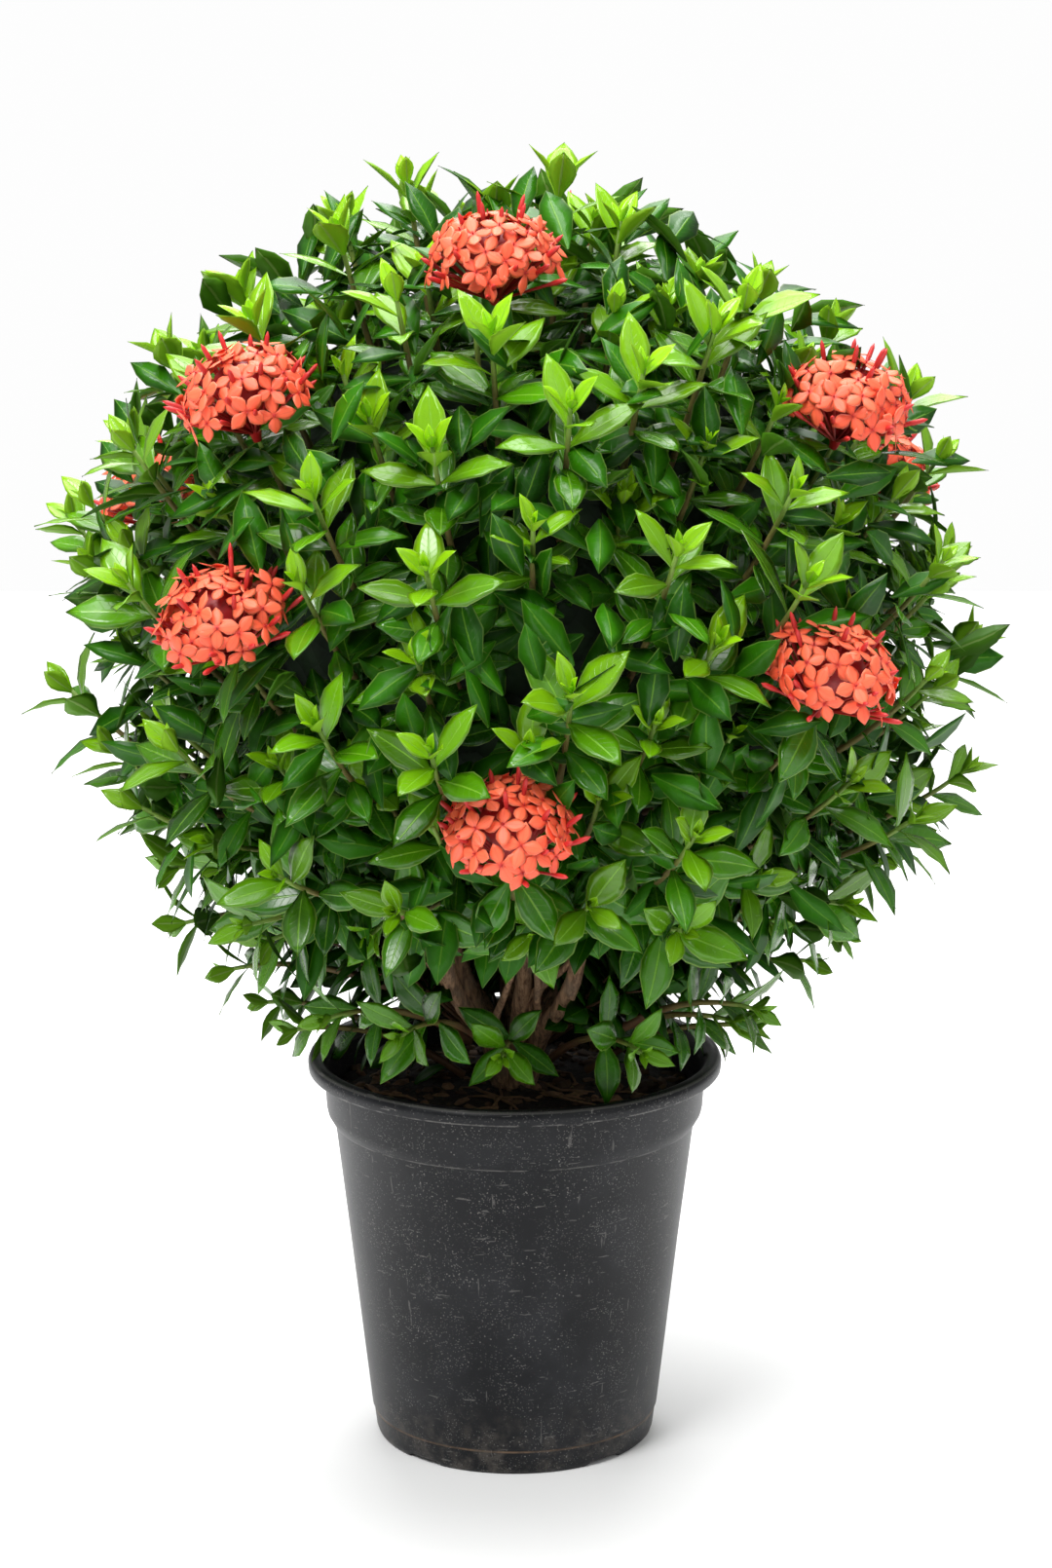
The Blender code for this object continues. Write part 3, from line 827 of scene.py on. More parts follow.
class Press:
    """Stamps copies of templates and sweeps tubes into one mesh, and hands over the finished piece."""

    def __init__(self) -> None:
        """Starts an empty mesh with the layers that the finishes read."""
        self.bm = bmesh.new()
        self.blade_map = self.bm.loops.layers.uv.new("blade")
        self.tone = make_tone(self.bm)

    def stamp(self, template: bpy.types.Mesh, place: Matrix, tone: Triple) -> None:
        """Adds a copy of a template.

        Args:
            template: The mesh to copy.
            place: Where it goes.
            tone: What the finishes read from it.
        """
        copy = template.copy()
        copy.transform(place)
        copy.attributes["tone"].data.foreach_set("color", [*tone, 1.0] * len(copy.vertices))
        self.bm.from_mesh(copy)
        bpy.data.meshes.remove(copy)

    def sweep(
        self, points: list[Vector], radii: list[float], tones: list[Triple], sides: int = 5, slot: int = 0
    ) -> None:
        """Sweeps a closed, tapered tube along a path.

        Args:
            points: The path.
            radii: The radius at each point.
            tones: What the finishes read at each point.
            sides: How many sides it has.
            slot: Its material slot.
        """
        made = bmesh.ops.create_circle(self.bm, cap_ends=True, segments=sides, radius=1.0)
        ring = list(made["verts"])
        rest = [vertex.co.copy() for vertex in ring]
        faces = {face for vertex in ring for face in vertex.link_faces}
        heading = (points[1] - points[0]).normalized()
        turn: Quaternion = UP.rotation_difference(heading)
        self._lay(ring, rest, turn, points[0], radii[0], tones[0])
        edges = list({edge for vertex in ring for edge in vertex.link_edges})
        for index in range(1, len(points)):
            ahead = points[min(index + 1, len(points) - 1)] - points[index - 1]
            turned = heading.rotation_difference(ahead.normalized())
            heading, turn = ahead.normalized(), turned @ turn
            grown = bmesh.ops.extrude_edge_only(self.bm, edges=edges)["geom"]
            new_edges = [item for item in grown if isinstance(item, bmesh.types.BMEdge)]
            new_ring = [item for item in grown if isinstance(item, bmesh.types.BMVert)]
            faces |= {item for item in grown if isinstance(item, bmesh.types.BMFace)}
            ordered = self._match(ring, new_ring)
            self._lay(ordered, rest, turn, points[index], radii[index], tones[index])
            edges = [edge for edge in new_edges if all(vertex in set(ordered) for vertex in edge.verts)]
            ring = ordered
        cap = bmesh.ops.contextual_create(self.bm, geom=edges)["faces"]
        faces |= set(cap)
        bmesh.ops.recalc_face_normals(self.bm, faces=list(faces))
        for face in faces:
            face.smooth = True
            face.material_index = slot

    def _lay(
        self, ring: list[bmesh.types.BMVert], rest: list[Vector], turn: Quaternion, place: Vector,
        radius: float, tone: Triple,
    ) -> None:
        """Puts a ring of corners round a point of the path.

        Args:
            ring: The ring's corners.
            rest: Where they lie before they are turned, for a radius of one.
            turn: The path's turn there.
            place: The point.
            radius: The tube's radius there.
            tone: What the finishes read there.
        """
        for vertex, corner in zip(ring, rest):
            vertex.co = place + turn @ (corner * radius)
            vertex[self.tone] = (*tone, 1.0)

    @staticmethod
    def _match(
        ring: list[bmesh.types.BMVert], new_ring: list[bmesh.types.BMVert]
    ) -> list[bmesh.types.BMVert]:
        """Puts extruded corners in the order of the ring that they came from."""
        return [min(new_ring, key=lambda new: (new.co - vertex.co).length_squared) for vertex in ring]

    def piece(
        self, name: str, materials: list[bpy.types.Material], slot: Slot, *nodes: str
    ) -> bpy.types.Object:
        """Makes the finished piece and says which solids it stands for.

        Args:
            name: The piece's name.
            materials: Its material slots.
            slot: The record's slot; not used.
            nodes: The solids it replaces.

        Returns:
            The piece.
        """
        mesh = close_mesh(self.bm, name)
        for material in materials:
            mesh.materials.append(material)
        made = stand(name, mesh)
        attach(made, BODY)
        if nodes:
            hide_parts(*nodes)
        log.info("%s: %d faces", name, len(mesh.polygons))
        return made


# The crown
@dataclass
class Crown:
    """The bush's overall form, and where its shoots and heads stand on it."""

    centre: Vector = field(default_factory=lambda: Vector((0.0, 0.0, 0.567)))
    lean: float = 0.009
    radius: float = 0.312
    half_height: float = 0.306
    core_radius: float = 0.200
    core_half_height: float = 0.180
    shoots: int = 176
    lowest: float = math.sin(math.radians(-60))
    seed: int = 7
    heads: tuple[tuple[float, float], ...] = (
        (-6, 61),
        (-45, 35),
        (56, 33),
        (-38, 8),
        (38, 2),
        (-2, -16),
        (172, 52),
        (116, 16),
        (-118, 12),
        (-172, 2),
    )
    head_shifts: tuple[tuple[float, float], ...] = (
        (0.002, -0.011),
        (0.000, -0.007),
        (0.010, -0.008),
        (-0.002, -0.014),
        (0.018, -0.019),
        (0.008, -0.020),
        (0.000, -0.010),
        (0.000, -0.012),
        (0.000, -0.012),
        (0.000, -0.016),
    )
    wood_gap: tuple[float, float] = (9, -56)
    head_reach: float = 0.278
    head_neck: float = 0.026
    solid_shoots: int = 35
    seen_tips: tuple[tuple[float, float], ...] = (
        (6, 36), (-13, 31), (-6, 46), (33, 46), (45, 50), (18, 41), (36, 24), (-12, 16), (18, 18), (5, 2),
        (-11, -5), (20, -16), (-25, -3), (-33, -23), (-18, -28), (-56, 46), (-63, 63), (-66, 26), (63, 12),
        (59, -20), (54, -33), (60, -55), (-46, -8), (8, -26), (21, -30), (35, 13), (-28, 24), (-26, 52),
        (-44, -33), (-58, 10), (-8, -66), (-31, -58), (31, -62), (63, -60), (-54, -57),
    )
    outline_tips: tuple[tuple[float, float], ...] = (
        (-0.112, 0.828), (-0.069, 0.858), (-0.014, 0.835), (0.029, 0.859), (0.052, 0.826), (0.096, 0.780),
        (0.121, 0.791), (0.159, 0.790), (0.210, 0.758), (0.258, 0.718), (0.282, 0.672), (0.284, 0.615),
        (0.302, 0.547), (0.300, 0.468), (0.270, 0.410), (0.222, 0.354), (0.203, 0.325), (0.161, 0.290),
        (-0.180, 0.782), (-0.224, 0.745), (-0.252, 0.679), (-0.278, 0.648), (-0.295, 0.631), (-0.278, 0.607),
        (-0.300, 0.516), (-0.266, 0.482), (-0.245, 0.442), (-0.229, 0.400), (-0.228, 0.351), (-0.193, 0.330),
        (-0.173, 0.296), (-0.151, 0.288),
    )
    outline_depth: float = 0.020
    rounds: int = 26
    wood_gap_width: float = math.radians(17)

    def surface(self, outward: Vector) -> Vector:
        """Gives the point of the crown's outline in a direction."""
        return self.centre + Vector(
            (outward.x * self.radius + self.lean, outward.y * self.radius, outward.z * self.half_height)
        )

    def head_directions(self) -> list[Vector]:
        """Gives the directions of the flower heads."""
        return [direction(turn, height) for turn, height in self.heads]

    def head_place(self, index: int) -> Vector:
        """Gives where the neck of a flower head stands.

        Args:
            index: Which head, from 0.

        Returns:
            The place.
        """
        aside, lift = self.head_shifts[index]
        return self.centre + self.head_directions()[index] * self.head_reach + Vector((aside, 0.0, lift))

    def outline_places(self) -> list[Vector]:
        """Gives where the shoots on the outline end, by turns before and behind its middle."""
        return [
            Vector((x, self.outline_depth * (-1) ** index, z))
            for index, (x, z) in enumerate(self.outline_tips)
        ]

    def outward(self, place: Vector) -> Vector:
        """Gives the direction in which a place lies on the crown.

        Args:
            place: The place.

        Returns:
            The direction, which `surface` takes.
        """
        way = place - self.centre
        return Vector(
            ((way.x - self.lean) / self.radius, way.y / self.radius, way.z / self.half_height)
        ).normalized()

    @staticmethod
    def shoulder(outward: Vector) -> float:
        """Gives how far a direction lies on the crown's sloping shoulders, 0 to 1."""
        aside = held((abs(outward.x) - 0.20) / 0.25)
        return aside * held((outward.z - 0.50) / 0.25)

    def spread(self, count: int, fixed: list[Vector], rounds: int, lowest: float) -> list[Vector]:
        """Spreads directions evenly over the crown around fixed ones.

        Args:
            count: How many.
            fixed: The directions that stay.
            rounds: How many times they push each other apart.
            lowest: The lowest that they reach, as the sine of the height.

        Returns:
            The directions.
        """
        points = [spiral(index, count, lowest) for index in range(count)]
        reach = 3.2 / math.sqrt(count + len(fixed))
        for _ in range(rounds):
            moved = []
            for point in points:
                push = Vector()
                for other in points + fixed:
                    gap = point - other
                    if 0.0 < gap.length_squared < reach * reach:
                        push += gap.normalized() * (reach - gap.length)
                aim = (point + push * 0.12).normalized()
                aim.z = max(aim.z, lowest)
                moved.append(aim.normalized())
            points = moved
        return points

    def shoot_directions(self) -> list[Vector]:
        """Gives the directions of all the leafy shoots, the seen ones first.

        Returns:
            The directions.
        """
        seen = [direction(turn, height) for turn, height in self.seen_tips]
        outline = [self.outward(place) for place in self.outline_places()]
        free = self.shoots - len(seen) - len(outline)
        fixed = seen + outline + self.head_directions()
        gap = direction(*self.wood_gap)
        return seen + [
            way
            for way in self.spread(free, fixed, self.rounds, self.lowest)
            if way.angle(gap) > self.wood_gap_width and not self.bared(way)
        ]

    @staticmethod
    def bared(way: Vector) -> bool:
        """Tells whether a direction points to the front of the old wood, which stays open."""
        return way.z <= -0.72 and way.y <= 0.10


@dataclass
class Foliage:
    """Leafy shoots: how long they are, how they bend and the leaves they carry."""

    crown: Crown
    length: float = 0.190
    twig_radius: float = 0.0025
    leaf_length: float = 0.0475
    steps: int = 8
    rosette: tuple[tuple[float, float, float, float], ...] = (
        (0.000, 0.19, 8, 1.00),
        (0.002, 0.36, 20, 1.00),
        (0.007, 0.68, 30, 0.74),
        (0.016, 1.02, 42, 0.40),
        (0.030, 1.12, 54, 0.14),
        (0.046, 1.12, 63, 0.05),
    )
    collar: tuple[tuple[float, float, float, float], ...] = (
        (0.004, 1.16, 98, 0.04),
        (0.014, 1.14, 112, 0.00),
        (0.032, 1.06, 82, 0.00),
    )
    spacing: float = 0.0162
    bloom_clear: float = 0.052
    twig_taper: tuple[float, float] = (1.25, 0.65)
    seen_inset: tuple[float, float] = (-0.006, 0.004)
    hidden_inset: tuple[float, float] = (-0.036, -0.008)
    tip_inset: float = 0.010
    shoulder_inset: float = 0.026
    seen_vigour: tuple[float, float] = (0.92, 1.12)
    hidden_vigour: tuple[float, float] = (0.80, 1.04)
    leafy_share: float = 0.93
    bare_share: float = 0.36
    whole_levels: int = 7
    lost_leaves: float = 0.12
    templates: list[bpy.types.Mesh] = field(init=False)
    small: bpy.types.Mesh = field(init=False)
    blooms: list[Vector] = field(init=False)

    def __post_init__(self) -> None:
        """Makes the few blade shapes that every leaf is a copy of."""
        self.templates = [
            BladeShape("young_blade", width=0.42, fold=0.42, arch=0.06, cup=0.05).template(),
            BladeShape("flat_blade", width=0.40, fold=0.22, arch=0.15).template(),
            BladeShape("bent_blade", width=0.38, fold=0.26, arch=0.27, ripple=0.012).template(),
            BladeShape("broad_blade", width=0.43, fold=0.14, arch=0.20, cup=0.16, ripple=-0.010).template(),
        ]
        self.blooms = [self.crown.head_place(index) + UP * 0.012 for index in range(len(self.crown.heads))]
        self.small = BladeShape("inner_blade", width=0.40, columns=2, rows=4, arch=0.2).template()

    def heading(self, outward: Vector, share: float) -> Vector:
        """Gives the way a shoot runs at a share of its length, 0 at its foot and 1 at its tip.

        Args:
            outward: The shoot's direction on the crown.
            share: How far along.

        Returns:
            The unit heading.
        """
        free = held((outward.z + 0.65) / 0.35)
        pull = (0.10 + 0.25 * share) * (1.0 - free) + (0.20 + 0.95 * share) * free
        risen = (outward + UP * pull * (1.0 - 0.35 * max(outward.z, 0.0))).normalized()
        level = (Vector((outward.x, outward.y, 0.0)).normalized() + UP * (0.80 - 0.95 * share)).normalized()
        return risen.lerp(level, self.under(outward)).normalized()

    @staticmethod
    def under(outward: Vector) -> float:
        """Gives how far a direction lies under the crown, 0 to 1."""
        return held((-outward.z - 0.55) / 0.25)

    def path(self, outward: Vector, tip: Vector, length: float) -> list[Vector]:
        """Traces a shoot back from its tip.

        Args:
            outward: The shoot's direction on the crown.
            tip: Where it ends.
            length: How long it is.

        Returns:
            Its points, foot first.
        """
        points = [tip]
        for index in range(self.steps):
            share = 1.0 - (index + 0.5) / self.steps
            points.append(points[-1] - self.heading(outward, share) * (length / self.steps))
        return points[::-1]

    def leaf(
        self, press: Press, node: Vector, axis: Vector, turn: float, pitch: float, length: float,
        tone: Triple, draw: random.Random, clear: bool = True,
    ) -> None:
        """Adds one leaf.

        Args:
            press: The mesh it goes into.
            node: Where it leaves the twig.
            axis: The twig's heading there.
            turn: Radians round the twig.
            pitch: Degrees that it leans away from the twig.
            length: How long it is.
            tone: Its age, chance and shade.
            draw: The shoot's random numbers.
            clear: Whether it is left out where it would run into a bloom.
        """
        frame = frame_along(axis, node, turn)
        lean = leaning(pitch)
        reach = (frame @ lean).to_3x3() @ Vector((0.0, length, 0.0))
        if clear and self._meets_bloom([node + reach * share for share in (0.2, 0.5, 0.8, 1.0)]):
            return
        roll = Matrix.Rotation(draw.gauss(0.0, 0.16), 4, "Y")
        width = length * draw.uniform(0.90, 1.10)
        grow = Matrix.Diagonal((width, length, length, 1.0))
        if tone[0] > 0.5:
            shape = self.templates[0]
        else:
            shape = self.templates[draw.choice((1, 1, 2, 3))]
        press.stamp(shape, frame @ lean @ roll @ grow, tone)

    def _meets_bloom(self, points: list[Vector]) -> bool:
        """Tells whether any of a leaf's points lies within a bloom."""
        return any((point - bloom).length < self.bloom_clear for bloom in self.blooms for point in points)

    def shoot(
        self, press: Press, outward: Vector, number: int, tip: Vector | None = None, flowering: bool = False
    ) -> None:
        """Grows one shoot.

        Args:
            press: The mesh it goes into.
            outward: Its direction on the crown.
            number: What seeds its random numbers.
            tip: Where it ends, if not on the crown's outline.
            flowering: Whether a head stands on it, with large leaves below.
        """
        draw = random.Random(self.crown.seed * 1000 + number)
        seen = number < len(self.crown.seen_tips)
        if tip is None:
            if seen:
                inset = draw.uniform(*self.seen_inset)
            else:
                inset = draw.uniform(*self.hidden_inset) - max(0.0, draw.gauss(0.0, 0.014))
                inset -= self.shoulder_inset * self.crown.shoulder(outward)
            tip = self.crown.surface(outward) + outward * (inset - self.tip_inset)
        length = self.length * draw.uniform(0.9, 1.1) * (1.0 - 0.35 * self.under(outward))
        points = self.path(outward, tip, length)
        thick, lost = self.twig_taper
        radii = [self.twig_radius * (thick - lost * index / self.steps) for index in range(self.steps + 1)]
        tones = [(index / self.steps, draw.random(), 0.0) for index in range(self.steps + 1)]
        press.sweep(points, radii, tones, slot=TWIG_SLOT)
        levels = list(self.collar if flowering else self.rosette)
        low = levels[-1][0] + self.spacing
        bare = self.under(outward) > 0.6 and outward.y < -0.1
        while low < length * (self.bare_share if bare else self.leafy_share):
            levels.append((low, draw.uniform(0.84, 1.06), draw.uniform(54, 76), 0.0))
            low += self.spacing * draw.uniform(0.85, 1.15)
        turn = draw.uniform(0.0, math.tau)
        vigour = draw.uniform(*(self.seen_vigour if seen else self.hidden_vigour))
        vigour *= 1.0 - 0.14 * self.under(outward)
        # Youth of the leaves: partly random new growth, partly painted top light, which makes leaves high on
        # the crown paler green and those low down darker.
        fresh_and_top_light = draw.uniform(0.78, 1.0) * (0.50 + 0.50 * held(outward.z * 1.6 + 1.0))
        for index, (down, size, pitch, age) in enumerate(levels):
            share = 1.0 - down / length
            at, axis = self.along(points, share, outward)
            for side in (0.0, math.pi):
                if index > self.whole_levels and draw.random() < self.lost_leaves:
                    continue
                lean = pitch + draw.gauss(0.0, 6.0)
                long = self.leaf_length * size * vigour * draw.uniform(0.92, 1.08)
                # Painted shade: leaves further down the shoot, and on shoots low on the crown, get a larger
                # shade value, which darkens them; on the upper crown it starts further down.
                start = 0.05 + 0.03 * max(0.0, outward.z)
                low_down = held(-outward.z - 0.1)
                depth = min(1.0, max(0.0, (down - start) / 0.12) + 0.55 * low_down)
                # Painted top light: the first whorls on the upper crown are pushed further towards the pale
                # young green.
                green = min(1.0, (age + (0.34 if index < 5 else 0.08) * max(0.0, outward.z)) * fresh_and_top_light)
                tone = (green, draw.random(), depth * 0.8)
                self.leaf(
                    press, at, axis, turn + side + draw.gauss(0.0, 0.12), lean, long, tone, draw,
                    not flowering,
                )
            turn += math.pi / 2 + draw.gauss(0.0, 0.10)

    def along(self, points: list[Vector], share: float, outward: Vector) -> tuple[Vector, Vector]:
        """Finds a point and heading on a shoot.

        Args:
            points: The shoot's path.
            share: How far along it, 0 at its foot.
            outward: Its direction on the crown.

        Returns:
            The point and the heading.
        """
        place = min(max(share, 0.0), 0.9999) * (len(points) - 1)
        index = int(place)
        return points[index].lerp(points[index + 1], place - index), self.heading(outward, share)

    def inner(self, press: Press, count: int, radius: tuple[float, float], seed: int) -> None:
        """Fills the inside of the crown with leaves at every angle, darkened by painted shade, most of all
        low down.

        Args:
            press: The mesh they go into.
            count: How many.
            radius: How far from the centre they start, as shares of the crown's.
            seed: What seeds them.
        """
        draw = random.Random(seed)
        for index in range(count):
            outward = spiral(index, count, -0.97)
            if self.crown.bared(outward):
                continue
            at = self.crown.centre + (self.crown.surface(outward) - self.crown.centre) * draw.uniform(*radius)
            axis = (outward + UP * 0.4 + scatter(draw, 0.35)).normalized()
            # Painted shade: inner leaves get a high shade value, higher towards the bottom of the crown.
            shade = min(0.98, draw.uniform(0.45, 0.75) - 0.28 * outward.z)
            tone = (0.0, draw.random(), shade)
            frame = frame_along(axis, at, draw.uniform(0.0, math.tau))
            lean = leaning(draw.uniform(25, 75))
            grow = Matrix.Diagonal([self.leaf_length * draw.uniform(0.9, 1.2)] * 3 + [1.0])
            press.stamp(self.small, frame @ lean @ grow, tone)

    def skirt(self, press: Press, count: int, foot_z: float, seed: int) -> None:
        """Hangs leafy twigs, darkened by painted shade, behind the old wood, so that no light shows between
        its limbs.

        Args:
            press: The mesh they go into.
            count: How many twigs.
            foot_z: The height at which they leave the stump.
            seed: What seeds them.
        """
        draw = random.Random(seed)
        for index in range(count):
            turn = math.radians(draw.uniform(-6, 6) + 240.0 * ((index + 0.5) / count - 0.5))
            out = Vector((math.sin(turn), math.cos(turn), 0.0))
            foot = out * 0.012 + UP * foot_z
            rise = draw.uniform(0.045, 0.165)
            tip = out * draw.uniform(0.10, 0.14 + 0.5 * rise) + UP * (foot_z + rise)
            bow = foot.lerp(tip, 0.5) + UP * 0.022
            points = [foot.lerp(bow, step / 6).lerp(bow.lerp(tip, step / 6), step / 6) for step in range(7)]
            press.sweep(
                points, [0.0016 - 0.00015 * step for step in range(7)], [PLAIN_TONE] * 7, sides=4,
                slot=TWIG_SLOT,
            )
            for step in range(2, 7):
                axis = (points[step] - points[step - 1]).normalized()
                for side in range(4):
                    around = side * math.pi / 2 + draw.gauss(0.0, 0.3)
                    frame = frame_along(axis, points[step], around)
                    lean = leaning(draw.uniform(45, 85))
                    grow = Matrix.Scale(self.leaf_length * draw.uniform(0.75, 1.05), 4)
                    # Painted shade: these leaves get a shade value near the top of its range.
                    tone = (0.0, draw.random(), draw.uniform(0.80, 1.0))
                    press.stamp(self.small, frame @ lean @ grow, tone)


@dataclass
class FlowerHead:
    """A domed head of florets on long tubes, with buds standing out of it."""

    radius: float = 0.0395
    height: float = 0.030
    gather: float = 0.030
    florets: int = 38
    buds: int = 26
    petal_length: float = 0.0140
    templates: list[bpy.types.Mesh] = field(init=False)

    def __post_init__(self) -> None:
        """Makes the petal shapes."""
        common = {"stalk": 0.16, "ripple": 0.0, "thickness": 0.05, "rows": 5, "both_faces": False}
        flat = {"width": 0.66, "widest": 0.51, "point": 1.12, "fold": 0.05, "arch": 0.06, "cup": 0.18}
        bent = {"width": 0.62, "widest": 0.49, "point": 1.08, "fold": 0.02, "arch": 0.20, "cup": 0.24}
        bent["ripple"] = 0.02
        self.templates = [
            BladeShape("petal_flat", **(common | flat)).template(),
            BladeShape("petal_bent", **(common | bent)).template(),
        ]

    def build(self, press: Press, foot: Vector, axis: Vector, seed: int) -> None:
        """Builds one head.

        Args:
            press: The mesh it goes into.
            foot: Where its tubes gather.
            axis: The way it faces.
            seed: What seeds it.
        """
        draw = random.Random(seed)
        frame = frame_along(axis, foot, draw.uniform(0.0, math.tau))
        middle = UP * self.gather
        self._heart(press, frame)
        for index in range(self.florets):
            even = spiral(index, self.florets, -0.16, 0.3)
            facing = (even + scatter(draw, 0.07)).normalized()
            swell = draw.uniform(0.90, 1.05)
            at = middle + self._dome(facing, 0.0) * swell
            face = (
                Vector((facing.x * 0.85, facing.y * 0.85, facing.z + 0.14)) + scatter(draw, 0.20)
            ).normalized()
            self._floret(press, frame, at, face, max(0.0, even.z), draw)
        for index in range(self.buds):
            around = index * math.tau / self.buds + draw.uniform(-0.2, 0.2)
            upright = index % 4 == 0
            tilt = math.radians(draw.uniform(8, 40) if upright else draw.uniform(52, 92))
            facing = Vector(
                (math.sin(tilt) * math.cos(around), math.sin(tilt) * math.sin(around), math.cos(tilt))
            )
            swell = draw.uniform(0.012, 0.020) if upright else draw.uniform(0.006, 0.015)
            tip = middle * 0.8 + self._dome(facing, swell)
            self._bud(press, frame, tip, draw)

    def _dome(self, facing: Vector, swell: float) -> Vector:
        """Gives the point of the dome in a direction, at a distance out of it."""
        wide = self.radius + swell
        return Vector((facing.x * wide, facing.y * wide, facing.z * (self.height + swell)))

    def _heart(self, press: Press, frame: Matrix) -> None:
        """Adds the branched stalk at the heart of a head, which closes it to the eye.

        Args:
            press: The mesh it goes into.
            frame: Where the head stands and how it is turned.
        """
        heights = (0.0, 0.010, 0.020, 0.030, 0.040, 0.048, 0.053)
        radii = [0.0026, 0.0050, 0.0110, 0.0170, 0.0200, 0.0140, 0.0050]
        points = [frame @ (UP * height) for height in heights]
        press.sweep(points, radii, [(0.1, 0.5, 0.0)] * len(radii), sides=12, slot=TUBE_SLOT)

    def _floret(
        self, press: Press, frame: Matrix, at: Vector, face: Vector, top: float, draw: random.Random
    ) -> None:
        """Adds a floret: its tube, four petals and the tip of its style.

        Args:
            press: The mesh it goes into.
            frame: Where the head stands and how it is turned.
            at: The tube's mouth, in the head's own frame.
            face: The way the floret faces there.
            top: How near the head's top it is, 0 to 1.
            draw: The head's random numbers.
        """
        root = frame @ (UP * 0.004 + at * 0.12)
        mouth = frame @ at
        heading = (frame.to_3x3() @ face).normalized()
        bend = mouth - heading * 0.007
        tones = [(0.1, 0.5, 0.0), (0.35, 0.5, 0.0), (0.8, 0.5, 0.0)]
        press.sweep([root, bend, mouth], [0.0009, 0.0010, 0.0013], tones, sides=4, slot=TUBE_SLOT)
        turn = draw.uniform(0.0, math.tau)
        size = self.petal_length * draw.uniform(0.90, 1.08)
        closed = draw.uniform(-6.0, 14.0)
        # The first tone channel carries painted top light: florets near the head's top are painted paler.
        tone = (top, draw.random(), 0.0)
        place = frame_along(heading, mouth, turn)
        for quarter in range(4):
            spin = Matrix.Rotation(quarter * math.pi / 2 + draw.gauss(0.0, 0.06), 4, "Z")
            lift = Matrix.Rotation(math.radians(closed + draw.gauss(0.0, 4.0)), 4, "X")
            shape = self.templates[draw.random() < 0.5]
            press.stamp(shape, place @ spin @ lift @ Matrix.Scale(size, 4), tone)
        style = [mouth - heading * 0.001, mouth + heading * 0.0022]
        tones = [(0.9, 0.5, 0.0), (0.4, 0.5, 0.0)]
        press.sweep(style, [0.0006, 0.0004], tones, sides=4, slot=TUBE_SLOT)

    def _bud(self, press: Press, frame: Matrix, tip: Vector, draw: random.Random) -> None:
        """Adds an unopened floret: a slim tube that swells to a pointed club.

        Args:
            press: The mesh it goes into.
            frame: Where the head stands and how it is turned.
            tip: Where the bud ends, in the head's own frame.
            draw: The head's random numbers.
        """
        root = frame @ (UP * 0.004 + tip * 0.1)
        end = frame @ tip
        way = (end - root).normalized()
        points = [root, end - way * 0.016, end - way * 0.009, end - way * 0.003, end]
        radii = [0.0008, 0.0010, 0.0018, 0.0015, 0.0002]
        tones = [(share, 0.5, 0.0) for share in (0.1, 0.5, 0.8, 0.95, 1.0)]
        tones[2] = (0.8, draw.random(), 0.0)
        press.sweep(points, radii, tones, sides=6, slot=TUBE_SLOT)


